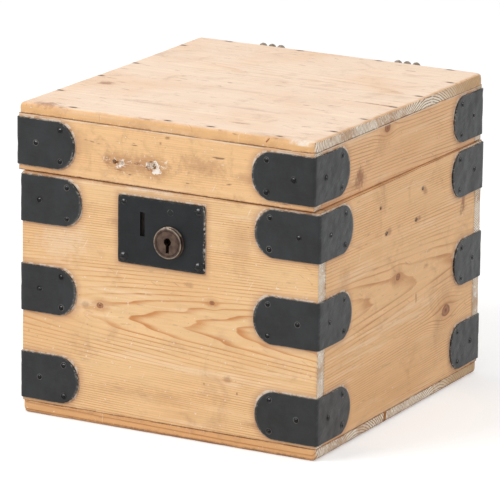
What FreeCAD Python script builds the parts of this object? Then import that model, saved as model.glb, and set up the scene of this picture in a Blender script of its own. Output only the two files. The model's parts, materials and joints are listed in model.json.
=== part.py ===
import FreeCAD, Part
import math
import os

# A pine box bound at its corners with iron straps, with a lid on two back hinges and a lock let
# into its front. Millimetres, +Z up, the front faces -Y, the origin is the middle of the underside.

# Wooden body
box_width = 345.0
box_depth = 373.0
board_thickness = 15.0
bottom_thickness = 13.0
wall_height = 245.3
wall_corner_round = 2.0
bottom_corner_round = 4.0
bottom_joint_share = 0.413
bottom_joint_gap = 0.6

# Lid: four rails under one board, out of true on its hinges by a small turn
lid_gap = 0.6
lid_rail_height = 60.0
lid_top_thickness = 11.1
lid_top_inset = 1.0
lid_top_corner_round = 5.0
lid_top_edge_round = 4.0
lid_skew_degrees = 0.75
lid_side_shift = 0.7

# Corner straps: bent iron plates with rounded ends, in four rows
strap_thickness = 2.0
strap_height = 50.0
strap_leg = 72.0
strap_end_round = 20.0
strap_end_facets = 4
strap_bend_radius = 1.5
strap_bend_facets = 3
strap_nail_spacing = 33.0
strap_nail_from_end = 17.0
strap_nail_from_corner = 24.0
strap_nail_length = 13.0
lid_strap_share = 0.518
upper_strap_share = 0.889
lower_strap_share = 0.116

# Centre of each middle strap at front left, front right, back left and back right, as shares of the
# wall height
middle_strap_shares = (0.501, 0.522, 0.500, 0.491)

# Hand-cut leg lengths, as shares of strap_leg: the leg on the front or back, then the one on the side
strap_leg_shares = {
    "front_left": {
        "lid": (0.97, 1.00), "upper": (1.02, 1.00), "middle": (0.93, 1.00), "lower": (0.97, 1.00)
    },
    "front_right": {
        "lid": (1.00, 1.04), "upper": (1.03, 1.01), "middle": (1.04, 1.01), "lower": (1.00, 1.01)
    },
    "back_left": {
        "lid": (1.00, 1.00), "upper": (1.00, 0.97), "middle": (0.98, 1.02), "lower": (1.00, 0.99)
    },
    "back_right": {
        "lid": (1.00, 0.95), "upper": (0.98, 1.04), "middle": (1.00, 0.93), "lower": (1.00, 0.99)
    },
}

# Forged nails: pointed square shanks, low faceted heads on the iron, and no heads in the wood
nail_width = 2.6
nail_head_radius = 2.8
nail_head_height = 1.0
nail_head_facets = 6
nail_hole_clearance = 0.15
brad_length = 38.0
brad_width = 3.4

# Corner brads, through the front and back into the ends of the sides, as shares of each height
body_brad_shares = (0.06, 0.31, 0.70, 0.96)
lid_brad_shares = (0.14, 0.86)

# Brads through the lid board into the rails and through the bottom boards into the walls, as shares
# of the length between the middles of the rails, counted from the left and from the front
top_front_brad_shares = (0.16, 0.50, 0.65, 0.89)
top_back_brad_shares = (0.10, 0.37, 0.66, 0.92)
top_left_brad_shares = (0.17, 0.40, 0.60, 0.88)
top_right_brad_shares = (0.13, 0.31, 0.49, 0.65, 0.85)
bottom_face_brad_shares = (0.06, 0.36, 0.64, 0.94)
bottom_side_brad_shares = (0.18, 0.34, 0.56, 0.82)

# Marks left by a lost hasp on the lid and by lost carrying handles on the sides
hasp_hole_radius = 2.6
hasp_hole_depth = 7.0
hasp_hole_height = 22.6
hasp_hole_left = -58.0
hasp_hole_right = -12.5
handle_hole_radius = 1.6
handle_hole_depth = 12.0
handle_centre_y = -3.0
handle_upper_z = 234.5
handle_lower_z = 204.4
handle_upper_spacing = 96.8
handle_lower_spacing = 68.4

# Lock plate, on the front
plate_width = 101.0
plate_height = 71.0
plate_thickness = 2.0
plate_centre_x = -7.0
plate_centre_z = 213.5
plate_screw_inset = 7.0
plate_hole_clearance = 0.2
staple_slot_width = 5.5
staple_slot_height = 25.0
staple_slot_left_share = 0.216
staple_slot_rise_share = 0.106

# Raised-head wood screws of the lock plate, faceted like the nails
screw_head_radius = 5.0
screw_head_height = 2.4
screw_shank_radius = 2.2
screw_facets = 10
screw_length = 14.0
screw_slot_width = 1.2
screw_slot_depth = 1.1
small_screw_head_radius = 3.6

# Keyhole boss
boss_x = 3.0
boss_drop_share = 0.106
boss_radius = 16.7
boss_projection = 5.0
boss_facets = 36
boss_dish_radius = 12.6
boss_dish_depth = 0.5
key_axis_rise = 1.5
keyhole_radius = 4.2
keyhole_slot_width = 3.8
keyhole_reach = 11.6

# Lock case behind the plate
case_left_screw_gap = 5.0
case_right_screw_gap = 5.5
case_bottom_share = 0.176
case_top_share = 0.063
case_wall = 1.5
case_inner_depth = 7.0
pocket_clearance = 0.4
key_tip_radius = 2.6
ward_radius = 6.4
ward_thickness = 0.8
ward_depth = 2.6
ward_facets = 4
spring_post_radius = 3.0
spring_post_clearance = 0.05
spring_post_beside_boss = 0.6
spring_post_rise_share = 0.334

# Bolt, shown drawn back
bolt_thickness = 6.0
bolt_tail_gap = 2.5
bolt_throw = 12.0
bolt_head_gap = 2.0
bolt_nose_round = 1.2
talon_width = 6.5
guide_side = 4.0
guide_clearance = 0.1
detent_recess_depth = 1.2
detent_notch_depth = 1.2
detent_notch_width = 2.4
detent_clearance = 0.2

# The bolt's room over the key's axis and under the spring's eye, as shares of the plate's height, its
# talon and guides, as shares of its own height, and the metal before the first guide slot and between
# the two, as shares of the bolt's length that the slots leave
bolt_above_key_share = 0.0986
bolt_eye_gap_share = 0.0479
talon_depth_share = 0.28
guide_rise_share = 0.519
guide_start_share = 0.48
guide_between_share = 0.418

# Flat spring that holds the bolt at either end of its throw
spring_thickness = 0.9
spring_width = 4.0
spring_eye_facets = 12
spring_eye_clearance = 0.3
spring_tip_radius = 0.8
spring_tip_facets = 6
spring_tip_offset = 9.6
spring_tail_length = 17.0
spring_tail_gap = 0.2

# Back hinges
hinge_strap_gap = 3.5
hinge_width = 33.0
hinge_leaf_thickness = 2.0
hinge_leaf_above_lid = 3.0
hinge_lobe_radius = 4.8
hinge_lobe_count = 3
hinge_lobe_facets = 16
hinge_knuckle_radius = 3.75
hinge_pin_radius = 1.7
hinge_pin_clearance = 0.05
hinge_side_gap = 0.3
hinge_nail_low_share = 0.22
hinge_nail_high_share = 0.62
hinge_nail_side_share = 0.28

# Every cut runs past its face by this much
overrun = 1.0

left_x = -box_width / 2
right_x = box_width / 2
front_y = -box_depth / 2
back_y = box_depth / 2
inner_left_x = left_x + board_thickness
inner_right_x = right_x - board_thickness
inner_front_y = front_y + board_thickness
inner_back_y = back_y - board_thickness
wall_bottom_z = bottom_thickness
wall_top_z = wall_bottom_z + wall_height
lid_bottom_z = wall_top_z + lid_gap
lid_rail_top_z = lid_bottom_z + lid_rail_height
lid_top_z = lid_rail_top_z + lid_top_thickness
case_depth = case_inner_depth + case_wall

along_x = FreeCAD.Vector(1, 0, 0)
along_y = FreeCAD.Vector(0, 1, 0)
along_z = FreeCAD.Vector(0, 0, 1)
origin = FreeCAD.Vector(0, 0, 0)
strap_rows = ("lid", "upper", "middle", "lower")
box_corners = ("front_left", "front_right", "back_left", "back_right")


def point(x, y, z):
    return FreeCAD.Vector(x, y, z)


def block(low, high):
    """A plain block between two opposite corners."""
    size = high - low
    return Part.makeBox(size.x, size.y, size.z, low)


def rounded_outline(corners, radii):
    """A closed flat outline through the corners, each turned by its own radius or left sharp at 0."""
    count = len(corners)
    starts = []
    ends = []
    arcs = []
    for index in range(count):
        corner = corners[index]
        radius = radii[index]
        back = (corners[index - 1] - corner).normalize()
        ahead = (corners[(index + 1) % count] - corner).normalize()
        half_angle = back.getAngle(ahead) / 2
        run = radius / math.tan(half_angle)
        starts.append(corner + back * run)
        ends.append(corner + ahead * run)
        inward = (back + ahead).normalize()
        crown = corner + inward * (radius / math.sin(half_angle) - radius)
        arcs.append(Part.Arc(starts[-1], crown, ends[-1]).toShape() if radius > 0 else None)
    edges = []
    for index in range(count):
        if arcs[index]:
            edges.append(arcs[index])
        following = (index + 1) % count
        if ends[index].distanceToPoint(starts[following]) > 0:
            edges.append(Part.makeLine(ends[index], starts[following]))
    return Part.Wire(edges)


def arc_points(centre, start, end, facets):
    """Points on a quarter arc about a centre, from start to end, both of them included."""
    points = []
    for index in range(facets + 1):
        angle = math.pi / 2 * index / facets
        points.append(centre + (start - centre) * math.cos(angle) + (end - centre) * math.sin(angle))
    return points


def polygon_plate(points, thickness_vector):
    """A flat plate on a straight-sided outline."""
    return Part.Face(Part.makePolygon(points + points[:1])).extrude(thickness_vector)


def plate(corners, radii, thickness_vector):
    """A flat plate on a rounded outline."""
    return Part.Face(rounded_outline(corners, radii)).extrude(thickness_vector)


def board(low, high, radii):
    """An upright or flat board with its own radius at each corner of its plan, from front left round."""
    corners = [
        point(low.x, low.y, low.z),
        point(high.x, low.y, low.z),
        point(high.x, high.y, low.z),
        point(low.x, high.y, low.z),
    ]
    return plate(corners, radii, along_z * (high.z - low.z))


def cylinder_between(radius, start, end):
    return Part.makeCylinder(radius, (end - start).Length, start, end - start)


def on_lid(shape):
    """Turns and shifts a piece of the lid from its true place to where the worn hinges let it sit."""
    turned = shape.rotated(point(0, back_y, 0), along_z, -lid_skew_degrees)
    return turned.translated(point(-lid_side_shift, 0, 0))


def at_corner(shape, corner):
    """Carries a piece made for the front left corner to another corner."""
    if corner.endswith("right"):
        shape = shape.mirror(origin, along_x)
    if corner.startswith("back"):
        shape = shape.mirror(origin, along_y)
    return shape


# Nails, made pointing along +Y with the underside of the head at the origin


def pyramid(base, tip):
    """A solid from a flat ring of base points to a tip."""
    faces = [Part.Face(Part.makePolygon(base + base[:1]))]
    for index in range(len(base)):
        faces.append(Part.Face(Part.makePolygon([base[index - 1], base[index], tip, base[index - 1]])))
    return Part.Solid(Part.Shell(faces))


def pointed_shank(width, length):
    half = width / 2
    base = [point(-half, 0, -half), point(half, 0, -half), point(half, 0, half), point(-half, 0, half)]
    return pyramid(base, point(0, length, 0))


def ring_points(radius, facets):
    """Points of an even-sided ring about +Y."""
    turns = [2 * math.pi * index / facets for index in range(facets)]
    return [point(radius * math.cos(turn), 0, radius * math.sin(turn)) for turn in turns]


def ring_plate(centre, radius, facets, thickness):
    """A round plate with even flat sides, from its front centre back along +Y."""
    return polygon_plate(ring_points(radius, facets), along_y * thickness).translated(centre)


def strap_nail():
    head = pyramid(ring_points(nail_head_radius, nail_head_facets), point(0, -nail_head_height, 0))
    return head.fuse(pointed_shank(nail_width, strap_nail_length))


def brad():
    return pointed_shank(brad_width, brad_length)


def pointing(shape, direction):
    """Turns a piece that points along +Y to another direction."""
    turn = FreeCAD.Rotation(along_y, direction)
    return shape.transformed(FreeCAD.Placement(origin, turn).toMatrix())


# Corner straps


def strap_centre_z(row, corner):
    if row == "lid":
        return lid_bottom_z + lid_rail_height * lid_strap_share
    if row == "upper":
        return wall_bottom_z + wall_height * upper_strap_share
    if row == "middle":
        return wall_bottom_z + wall_height * middle_strap_shares[box_corners.index(corner)]
    return wall_bottom_z + wall_height * lower_strap_share


def leg_nail_places(leg):
    """Places of the three nails of one leg: distance from the outer corner, height from the centre."""
    half_spacing = strap_nail_spacing / 2
    return (
        (leg - strap_nail_from_end, half_spacing),
        (leg - strap_nail_from_end, -half_spacing),
        (strap_nail_from_corner, 0),
    )


def strap_leg_plate(corner, run, start, leg, thickness_vector):
    """One flat leg of a strap, from the bend out to its rounded end."""
    round_start = corner + run * (leg - strap_end_round)
    end = corner + run * leg
    rise = along_z * strap_end_round
    top = along_z * strap_height
    points = [corner + run * start]
    points += arc_points(round_start + rise, round_start, end + rise, strap_end_facets)
    points += arc_points(round_start + top - rise, end + top - rise, round_start + top, strap_end_facets)
    points.append(corner + run * start + top)
    return polygon_plate(points, thickness_vector)


def strap_with_nails(row, corner):
    """One bent strap and its nails, made at the front left corner and carried to its own."""
    face_leg, side_leg = (strap_leg * share for share in strap_leg_shares[corner][row])
    corner_x = left_x - strap_thickness
    corner_y = front_y - strap_thickness
    centre_z = strap_centre_z(row, corner)
    low_z = centre_z - strap_height / 2
    outer_bend = strap_bend_radius + strap_thickness
    bend_centre = point(corner_x + outer_bend, corner_y + outer_bend, low_z)

    face_plate = strap_leg_plate(
        point(corner_x, corner_y, low_z), along_x, outer_bend, face_leg, along_y * strap_thickness
    )
    side_plate = strap_leg_plate(
        point(corner_x, corner_y, low_z), along_y, outer_bend, side_leg, along_x * strap_thickness
    )
    outer_arc = arc_points(
        bend_centre, bend_centre - along_x * outer_bend, bend_centre - along_y * outer_bend,
        strap_bend_facets
    )
    inner_arc = arc_points(
        bend_centre, bend_centre - along_y * strap_bend_radius, bend_centre - along_x * strap_bend_radius,
        strap_bend_facets
    )
    bend = polygon_plate(outer_arc + inner_arc, along_z * strap_height)
    strap = face_plate.fuse([side_plate, bend]).removeSplitter()

    hole_half = nail_width / 2 + nail_hole_clearance
    holes = []
    nails = []
    for distance, rise in leg_nail_places(face_leg):
        place = point(corner_x + distance, corner_y, centre_z + rise)
        low = place - point(hole_half, overrun, hole_half)
        high = place + point(hole_half, strap_thickness + overrun, hole_half)
        holes.append(block(low, high))
        nails.append(strap_nail().translated(place))
    for distance, rise in leg_nail_places(side_leg):
        place = point(corner_x, corner_y + distance, centre_z + rise)
        low = place - point(overrun, hole_half, hole_half)
        high = place + point(strap_thickness + overrun, hole_half, hole_half)
        holes.append(block(low, high))
        nails.append(pointing(strap_nail(), along_x).translated(place))
    strap = strap.cut(holes)

    carried_strap = at_corner(strap, corner)
    carried_nails = [at_corner(nail, corner) for nail in nails]
    if row == "lid":
        return on_lid(carried_strap), [on_lid(nail) for nail in carried_nails]
    return carried_strap, carried_nails


# Brads of the wooden joints


def set_brad(place, direction):
    """A brad driven flush at a place on the wood."""
    return pointing(brad(), direction).translated(place)


def corner_brads(low_z, height, shares):
    """Brads through the front and back boards into the ends of the side boards."""
    brads = []
    for share in shares:
        for x in (left_x + board_thickness / 2, right_x - board_thickness / 2):
            z = low_z + height * share
            brads.append(set_brad(point(x, front_y, z), along_y))
            brads.append(set_brad(point(x, back_y, z), -along_y))
    return brads


def edge_brads(face_z, direction, front_shares, back_shares, left_shares, right_shares):
    """Brads through a flat board into the four walls or rails on its other side."""
    near_x = left_x + board_thickness / 2
    near_y = front_y + board_thickness / 2
    run_x = box_width - board_thickness
    run_y = box_depth - board_thickness
    places = []
    for share in front_shares:
        places.append(point(near_x + run_x * share, near_y, face_z))
    for share in back_shares:
        places.append(point(near_x + run_x * share, near_y + run_y, face_z))
    for share in left_shares:
        places.append(point(near_x, near_y + run_y * share, face_z))
    for share in right_shares:
        places.append(point(near_x + run_x, near_y + run_y * share, face_z))
    return [set_brad(place, direction) for place in places]


# Lock

lock_back_y = front_y
plate_face_y = front_y - plate_thickness
plate_low_z = plate_centre_z - plate_height / 2
plate_high_z = plate_centre_z + plate_height / 2
plate_screw_reach = plate_width / 2 - plate_screw_inset
case_left_x = plate_centre_x - plate_screw_reach + case_left_screw_gap
case_right_x = plate_centre_x + plate_screw_reach - case_right_screw_gap
case_low_z = plate_low_z + plate_height * case_bottom_share
case_high_z = plate_high_z - plate_height * case_top_share
staple_slot_x = plate_centre_x - plate_width * staple_slot_left_share
staple_slot_z = plate_centre_z + plate_height * staple_slot_rise_share
boss_z = plate_centre_z - plate_height * boss_drop_share
spring_post_z = plate_centre_z + plate_height * spring_post_rise_share
spring_post_x = boss_x + spring_post_beside_boss
case_back_y = lock_back_y + case_depth
case_floor_y = lock_back_y + case_inner_depth
key_axis_x = boss_x
key_axis_z = boss_z + key_axis_rise
bolt_side_gap = (case_inner_depth - bolt_thickness) / 2
bolt_front_y = lock_back_y + bolt_side_gap
bolt_nose_x = staple_slot_x + staple_slot_width / 2 + bolt_head_gap
bolt_low_z = key_axis_z + plate_height * bolt_above_key_share
bolt_tail_x = case_right_x - case_wall - bolt_tail_gap
bolt_length = bolt_tail_x - bolt_nose_x
spring_eye_inner = (spring_post_radius + spring_eye_clearance) / math.cos(math.pi / spring_eye_facets)
spring_eye_outer = spring_eye_inner + spring_thickness
bolt_high_z = spring_post_z - spring_eye_outer - plate_height * bolt_eye_gap_share
bolt_height = bolt_high_z - bolt_low_z
talon_depth = bolt_height * talon_depth_share
guide_z = bolt_low_z + bolt_height * guide_rise_share
guide_slot_reach = guide_side / 2 + guide_clearance
spring_tip_x = spring_post_x - spring_tip_offset


def plate_screw_places():
    """Places of the four plate screws, with the radius of each head."""
    left = plate_centre_x - plate_screw_reach
    right = plate_centre_x + plate_screw_reach
    low_z = plate_low_z + plate_screw_inset
    high_z = plate_high_z - plate_screw_inset
    return (
        (left, high_z, small_screw_head_radius),
        (right, high_z, screw_head_radius),
        (left, low_z, screw_head_radius),
        (right, low_z, screw_head_radius),
    )


def plate_screw(x, z, head_radius):
    """A raised-head screw: a low head with a slot, over a pointed shank."""
    head_height = screw_head_height * head_radius / screw_head_radius
    head = pyramid(ring_points(head_radius, screw_facets), point(0, -head_height, 0))
    screw = head.fuse(pyramid(ring_points(screw_shank_radius, screw_facets), point(0, screw_length, 0)))
    slot_low = point(-head_radius, -head_height - overrun, -screw_slot_width / 2)
    slot_high = point(head_radius, screw_slot_depth - head_height, screw_slot_width / 2)
    return screw.cut(block(slot_low, slot_high)).translated(point(x, plate_face_y, z))


def keyhole_tool(start_y, end_y):
    """The keyhole as a cutting tool: a round hole on the key's axis over a narrow slot."""
    start = point(key_axis_x, start_y, key_axis_z)
    end = point(key_axis_x, end_y, key_axis_z)
    slot_low = point(key_axis_x - keyhole_slot_width / 2, start_y, key_axis_z - keyhole_reach)
    slot_high = point(key_axis_x + keyhole_slot_width / 2, end_y, key_axis_z)
    return cylinder_between(keyhole_radius, start, end).fuse(block(slot_low, slot_high))


def make_lock_plate():
    low = point(plate_centre_x - plate_width / 2, plate_face_y, plate_low_z)
    sheet = block(low, low + point(plate_width, plate_thickness, plate_height))
    start_y = plate_face_y - overrun
    end_y = lock_back_y + overrun
    cut_depth = end_y - start_y
    hole_radius = screw_shank_radius + plate_hole_clearance
    holes = []
    for x, z, head_radius in plate_screw_places():
        holes.append(ring_plate(point(x, start_y, z), hole_radius, screw_facets, cut_depth))
    holes.append(keyhole_tool(start_y, end_y))
    holes.append(cylinder_between(
        spring_post_radius + spring_post_clearance,
        point(spring_post_x, start_y, spring_post_z),
        point(spring_post_x, end_y, spring_post_z),
    ))
    half_width = staple_slot_width / 2
    half_height = staple_slot_height / 2
    slot_low = point(staple_slot_x - half_width, start_y, staple_slot_z - half_height)
    slot_high = point(staple_slot_x + half_width, end_y, staple_slot_z + half_height)
    holes.append(block(slot_low, slot_high))
    return sheet.cut(holes)


def make_keyhole_boss():
    """The raised round boss on the plate, with a shallow dish in its face and the keyhole through it."""
    face_y = plate_face_y - boss_projection
    barrel = ring_plate(point(boss_x, face_y, boss_z), boss_radius, boss_facets, boss_projection)
    dish = ring_plate(
        point(boss_x, face_y - overrun, boss_z), boss_dish_radius, boss_facets, boss_dish_depth + overrun
    )
    return barrel.cut([dish, keyhole_tool(face_y - overrun, plate_face_y + overrun)])


def make_lock_case():
    """The open tray behind the plate, with holes for the key's tip and the spring post."""
    outer = block(
        point(case_left_x, lock_back_y, case_low_z), point(case_right_x, case_back_y, case_high_z)
    )
    inner = block(
        point(case_left_x + case_wall, lock_back_y - overrun, case_low_z + case_wall),
        point(case_right_x - case_wall, case_floor_y, case_high_z - case_wall),
    )
    start_y = case_floor_y - overrun
    end_y = case_back_y + overrun
    holes = [inner]
    holes.append(cylinder_between(
        key_tip_radius, point(key_axis_x, start_y, key_axis_z), point(key_axis_x, end_y, key_axis_z)
    ))
    holes.append(cylinder_between(
        spring_post_radius + spring_post_clearance,
        point(spring_post_x, start_y, spring_post_z),
        point(spring_post_x, end_y, spring_post_z),
    ))
    return outer.cut(holes)


def guide_places():
    """Where the two guides stand along the bolt, each at the left end of its slot."""
    slot_length = bolt_throw + 2 * guide_slot_reach
    spare_length = bolt_length - 2 * slot_length
    first = bolt_nose_x + spare_length * guide_start_share + guide_slot_reach
    return (first, first + slot_length + spare_length * guide_between_share)


def make_bolt():
    """The sliding bolt: two guide slots, a talon for the key and a notched recess for the spring."""
    corners = [
        point(bolt_nose_x, bolt_front_y, bolt_low_z),
        point(bolt_tail_x, bolt_front_y, bolt_low_z),
        point(bolt_tail_x, bolt_front_y, bolt_high_z),
        point(bolt_nose_x, bolt_front_y, bolt_high_z),
    ]
    radii = (bolt_nose_round, 0, 0, bolt_nose_round)
    bar = plate(corners, radii, along_y * bolt_thickness)
    start_y = bolt_front_y - overrun
    depth = along_y * (bolt_thickness + 2 * overrun)
    cuts = []
    for x in guide_places():
        slot_corners = [
            point(x - guide_slot_reach, start_y, guide_z - guide_slot_reach),
            point(x + bolt_throw + guide_slot_reach, start_y, guide_z - guide_slot_reach),
            point(x + bolt_throw + guide_slot_reach, start_y, guide_z + guide_slot_reach),
            point(x - guide_slot_reach, start_y, guide_z + guide_slot_reach),
        ]
        cuts.append(polygon_plate(slot_corners, depth))
    talon_x = key_axis_x + bolt_throw / 2
    talon_corners = [
        point(talon_x - talon_width / 2, start_y, bolt_low_z - overrun),
        point(talon_x + talon_width / 2, start_y, bolt_low_z - overrun),
        point(talon_x + talon_width / 2, start_y, bolt_low_z + talon_depth),
        point(talon_x - talon_width / 2, start_y, bolt_low_z + talon_depth),
    ]
    cuts.append(polygon_plate(talon_corners, depth))
    recess_z = bolt_high_z - detent_recess_depth
    reach = spring_tip_radius + detent_clearance
    cuts.append(block(
        point(spring_tip_x - reach, start_y, recess_z),
        point(spring_tip_x + bolt_throw + reach, start_y + depth.y, bolt_high_z + overrun),
    ))
    for x in (spring_tip_x, spring_tip_x + bolt_throw):
        notch = [
            point(x - detent_notch_width / 2, start_y, recess_z),
            point(x + detent_notch_width / 2, start_y, recess_z),
            point(x, start_y, recess_z - detent_notch_depth),
        ]
        cuts.append(polygon_plate(notch, depth))
    return bar.cut(cuts)


def make_bolt_guides():
    """Two square guide blocks between the plate and the floor of the case."""
    half = guide_side / 2
    return [
        block(
            point(x - half, lock_back_y, guide_z - half), point(x + half, case_floor_y, guide_z + half)
        )
        for x in guide_places()
    ]


def make_spring_post():
    """The post that carries the spring and holds case and plate together, filed flush on both."""
    start = point(spring_post_x, plate_face_y, spring_post_z)
    return cylinder_between(spring_post_radius, start, point(spring_post_x, case_back_y, spring_post_z))


def strip(start, end):
    """A straight stretch of the flat spring between two points of its edge view."""
    run = (end - start).normalize()
    side = run.cross(along_y) * (spring_thickness / 2)
    corners = [start + side, end + side, end - side, start - side]
    return polygon_plate(corners, along_y * spring_width)


def make_bolt_spring():
    """The flat spring: an eye on its post, a tail on the top of the case and a tip on the bolt."""
    front = lock_back_y + (case_inner_depth - spring_width) / 2
    post = point(spring_post_x, front, spring_post_z)
    middle_radius = (spring_eye_inner + spring_eye_outer) / 2
    eye = ring_plate(post, spring_eye_outer, spring_eye_facets, spring_width)
    eye = eye.cut(ring_plate(post, spring_eye_inner, spring_eye_facets, spring_width))
    tip_z = bolt_high_z - detent_recess_depth + detent_clearance + spring_tip_radius
    tip = point(spring_tip_x, front, tip_z)
    tip_foot = ring_plate(tip, spring_tip_radius, spring_tip_facets, spring_width)
    tail_z = case_high_z - case_wall - spring_tail_gap - spring_thickness / 2
    tail_end = point(spring_post_x + spring_tail_length, front, tail_z)
    tail_start = post + along_z * middle_radius
    arm_start = post + (tip - post).normalize() * middle_radius
    return eye.fuse([strip(arm_start, tip), tip_foot, strip(tail_start, tail_end)])


def make_key_ward():
    """A half-round ward on the floor of the case, under the key's axis."""
    centre = point(key_axis_x, case_floor_y, key_axis_z)
    outer = ward_radius
    inner = ward_radius - ward_thickness
    down = -along_z
    points = arc_points(centre, centre - along_x * outer, centre + down * outer, ward_facets)
    points += arc_points(centre, centre + down * outer, centre + along_x * outer, ward_facets)[1:]
    points += arc_points(centre, centre + along_x * inner, centre + down * inner, ward_facets)
    points += arc_points(centre, centre + down * inner, centre - along_x * inner, ward_facets)[1:]
    return polygon_plate(points, -along_y * ward_depth)


def lock_pocket():
    """The recess in the front board that takes the lock case."""
    gap = point(pocket_clearance, 0, pocket_clearance)
    low = point(case_left_x, front_y - overrun, case_low_z) - gap
    high = point(case_right_x, case_back_y + pocket_clearance, case_high_z) + gap
    return block(low, high)


# Hinges

hinge_axis_y = back_y + hinge_side_gap + hinge_knuckle_radius
hinge_axis_z = wall_top_z + lid_gap / 2
hinge_leaf_length = lid_top_z + hinge_leaf_above_lid - hinge_axis_z
hinge_centre_x = right_x + strap_thickness - strap_leg - hinge_strap_gap - hinge_width / 2
hinge_centres = {"left": -hinge_centre_x, "right": hinge_centre_x}


def hinge_plate(centre_x, side):
    """A flat leaf on the back: up to three lobes for side 1, down to a square end for side -1."""
    end_z = hinge_axis_z + side * hinge_leaf_length
    lobe_z = end_z - side * hinge_lobe_radius
    straight_z = lobe_z if side > 0 else end_z
    low = point(centre_x - hinge_width / 2, back_y, min(hinge_axis_z, straight_z))
    high = point(centre_x + hinge_width / 2, back_y + hinge_leaf_thickness, max(hinge_axis_z, straight_z))
    leaf = block(low, high)
    if side < 0:
        return leaf
    lobes = []
    for index in range(hinge_lobe_count):
        x = centre_x + hinge_width * ((index + 0.5) / hinge_lobe_count - 0.5)
        place = point(x, back_y, lobe_z)
        lobes.append(ring_plate(place, hinge_lobe_radius, hinge_lobe_facets, hinge_leaf_thickness))
    return leaf.fuse(lobes).removeSplitter()


def knuckle(centre_x, start_share, end_share, radius):
    """A stretch of the barrel, between two shares of the hinge's width from its left end."""
    start_x = centre_x - hinge_width / 2 + hinge_width * start_share
    end_x = centre_x - hinge_width / 2 + hinge_width * end_share
    return cylinder_between(
        radius, point(start_x, hinge_axis_y, hinge_axis_z), point(end_x, hinge_axis_y, hinge_axis_z)
    )


def hinge_nail_places(centre_x, side):
    low_z = hinge_axis_z + side * hinge_leaf_length * hinge_nail_low_share
    high_z = hinge_axis_z + side * hinge_leaf_length * hinge_nail_high_share
    reach = hinge_width * hinge_nail_side_share
    face_y = back_y + hinge_leaf_thickness
    return (
        point(centre_x - reach, face_y, low_z),
        point(centre_x + reach, face_y, low_z),
        point(centre_x, face_y, high_z),
    )


def hinge_nails(centre_x, side):
    return [
        pointing(strap_nail(), -along_y).translated(place) for place in hinge_nail_places(centre_x, side)
    ]


def leaf_holes(centre_x, side):
    half = nail_width / 2 + nail_hole_clearance
    holes = []
    for place in hinge_nail_places(centre_x, side):
        low = place - point(half, hinge_leaf_thickness + overrun, half)
        high = place + point(half, overrun, half)
        holes.append(block(low, high))
    return holes


def make_hinge(centre_x):
    """Body leaf, lid leaf and pin of one hinge; the lid leaf's plate turns with the lid."""
    gap_share = hinge_side_gap / hinge_width
    third = 1 / 3
    bore = knuckle(centre_x, -gap_share, 1 + gap_share, hinge_pin_radius + hinge_pin_clearance)
    clear_radius = hinge_knuckle_radius + hinge_side_gap
    middle_room = knuckle(centre_x, third, 1 - third, clear_radius)
    left_room = knuckle(centre_x, -third, third + gap_share, clear_radius)
    right_room = knuckle(centre_x, 1 - third - gap_share, 1 + third, clear_radius)

    body_plate = hinge_plate(centre_x, -1).cut(leaf_holes(centre_x, -1) + [middle_room])
    body_knuckles = [
        knuckle(centre_x, 0, third, hinge_knuckle_radius),
        knuckle(centre_x, 1 - third, 1, hinge_knuckle_radius),
    ]
    body_leaf = body_plate.fuse(body_knuckles).cut(bore)

    lid_plate = on_lid(hinge_plate(centre_x, 1).cut(leaf_holes(centre_x, 1)))
    lid_plate = lid_plate.cut([left_room, right_room])
    lid_knuckle = knuckle(centre_x, third + gap_share, 1 - third - gap_share, hinge_knuckle_radius)
    lid_leaf = lid_plate.fuse(lid_knuckle).cut(bore)

    pin = knuckle(centre_x, 0, 1, hinge_pin_radius)
    return body_leaf, lid_leaf, pin


def hinge_room():
    """Room for both hinge barrels in the edge of the lid."""
    gap_share = hinge_side_gap / hinge_width
    return [
        knuckle(centre_x, -2 * gap_share, 1 + 2 * gap_share, hinge_knuckle_radius + hinge_side_gap)
        for centre_x in hinge_centres.values()
    ]


# Fastenings

straps = {}
body_strap_nails = []
lid_strap_nails = []
for corner in box_corners:
    for row in strap_rows:
        strap, nails = strap_with_nails(row, corner)
        straps[row + "_strap_" + corner] = strap
        if row == "lid":
            lid_strap_nails += nails
        else:
            body_strap_nails += nails

body_hinge_nails = []
lid_hinge_nails = []
for centre_x in hinge_centres.values():
    body_hinge_nails += hinge_nails(centre_x, -1)
    lid_hinge_nails += [on_lid(nail) for nail in hinge_nails(centre_x, 1)]

body_corner_brads = corner_brads(wall_bottom_z, wall_height, body_brad_shares)
lid_corner_brads = [
    on_lid(nail) for nail in corner_brads(lid_bottom_z, lid_rail_height, lid_brad_shares)
]
lid_top_brads = [
    on_lid(nail) for nail in edge_brads(
        lid_top_z, -along_z, top_front_brad_shares, top_back_brad_shares,
        top_left_brad_shares, top_right_brad_shares
    )
]
bottom_brads = edge_brads(
    0, along_z, bottom_face_brad_shares, bottom_face_brad_shares,
    bottom_side_brad_shares, bottom_side_brad_shares
)
lock_screws = [plate_screw(x, z, head_radius) for x, z, head_radius in plate_screw_places()]

# Boards


def handle_holes(side):
    """Four screw holes of a lost handle, on the right for side 1 and on the left for side -1."""
    holes = []
    for z, spacing in ((handle_upper_z, handle_upper_spacing), (handle_lower_z, handle_lower_spacing)):
        for y in (handle_centre_y - spacing / 2, handle_centre_y + spacing / 2):
            start = point(side * (right_x + overrun), y, z)
            end = point(side * (right_x - handle_hole_depth), y, z)
            holes.append(cylinder_between(handle_hole_radius, start, end))
    return holes


def hasp_holes():
    """Two screw holes of a lost hasp in the front of the lid."""
    z = lid_bottom_z + hasp_hole_height
    return [
        cylinder_between(
            hasp_hole_radius, point(x, front_y - overrun, z), point(x, front_y + hasp_hole_depth, z)
        )
        for x in (hasp_hole_left, hasp_hole_right)
    ]


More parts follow.
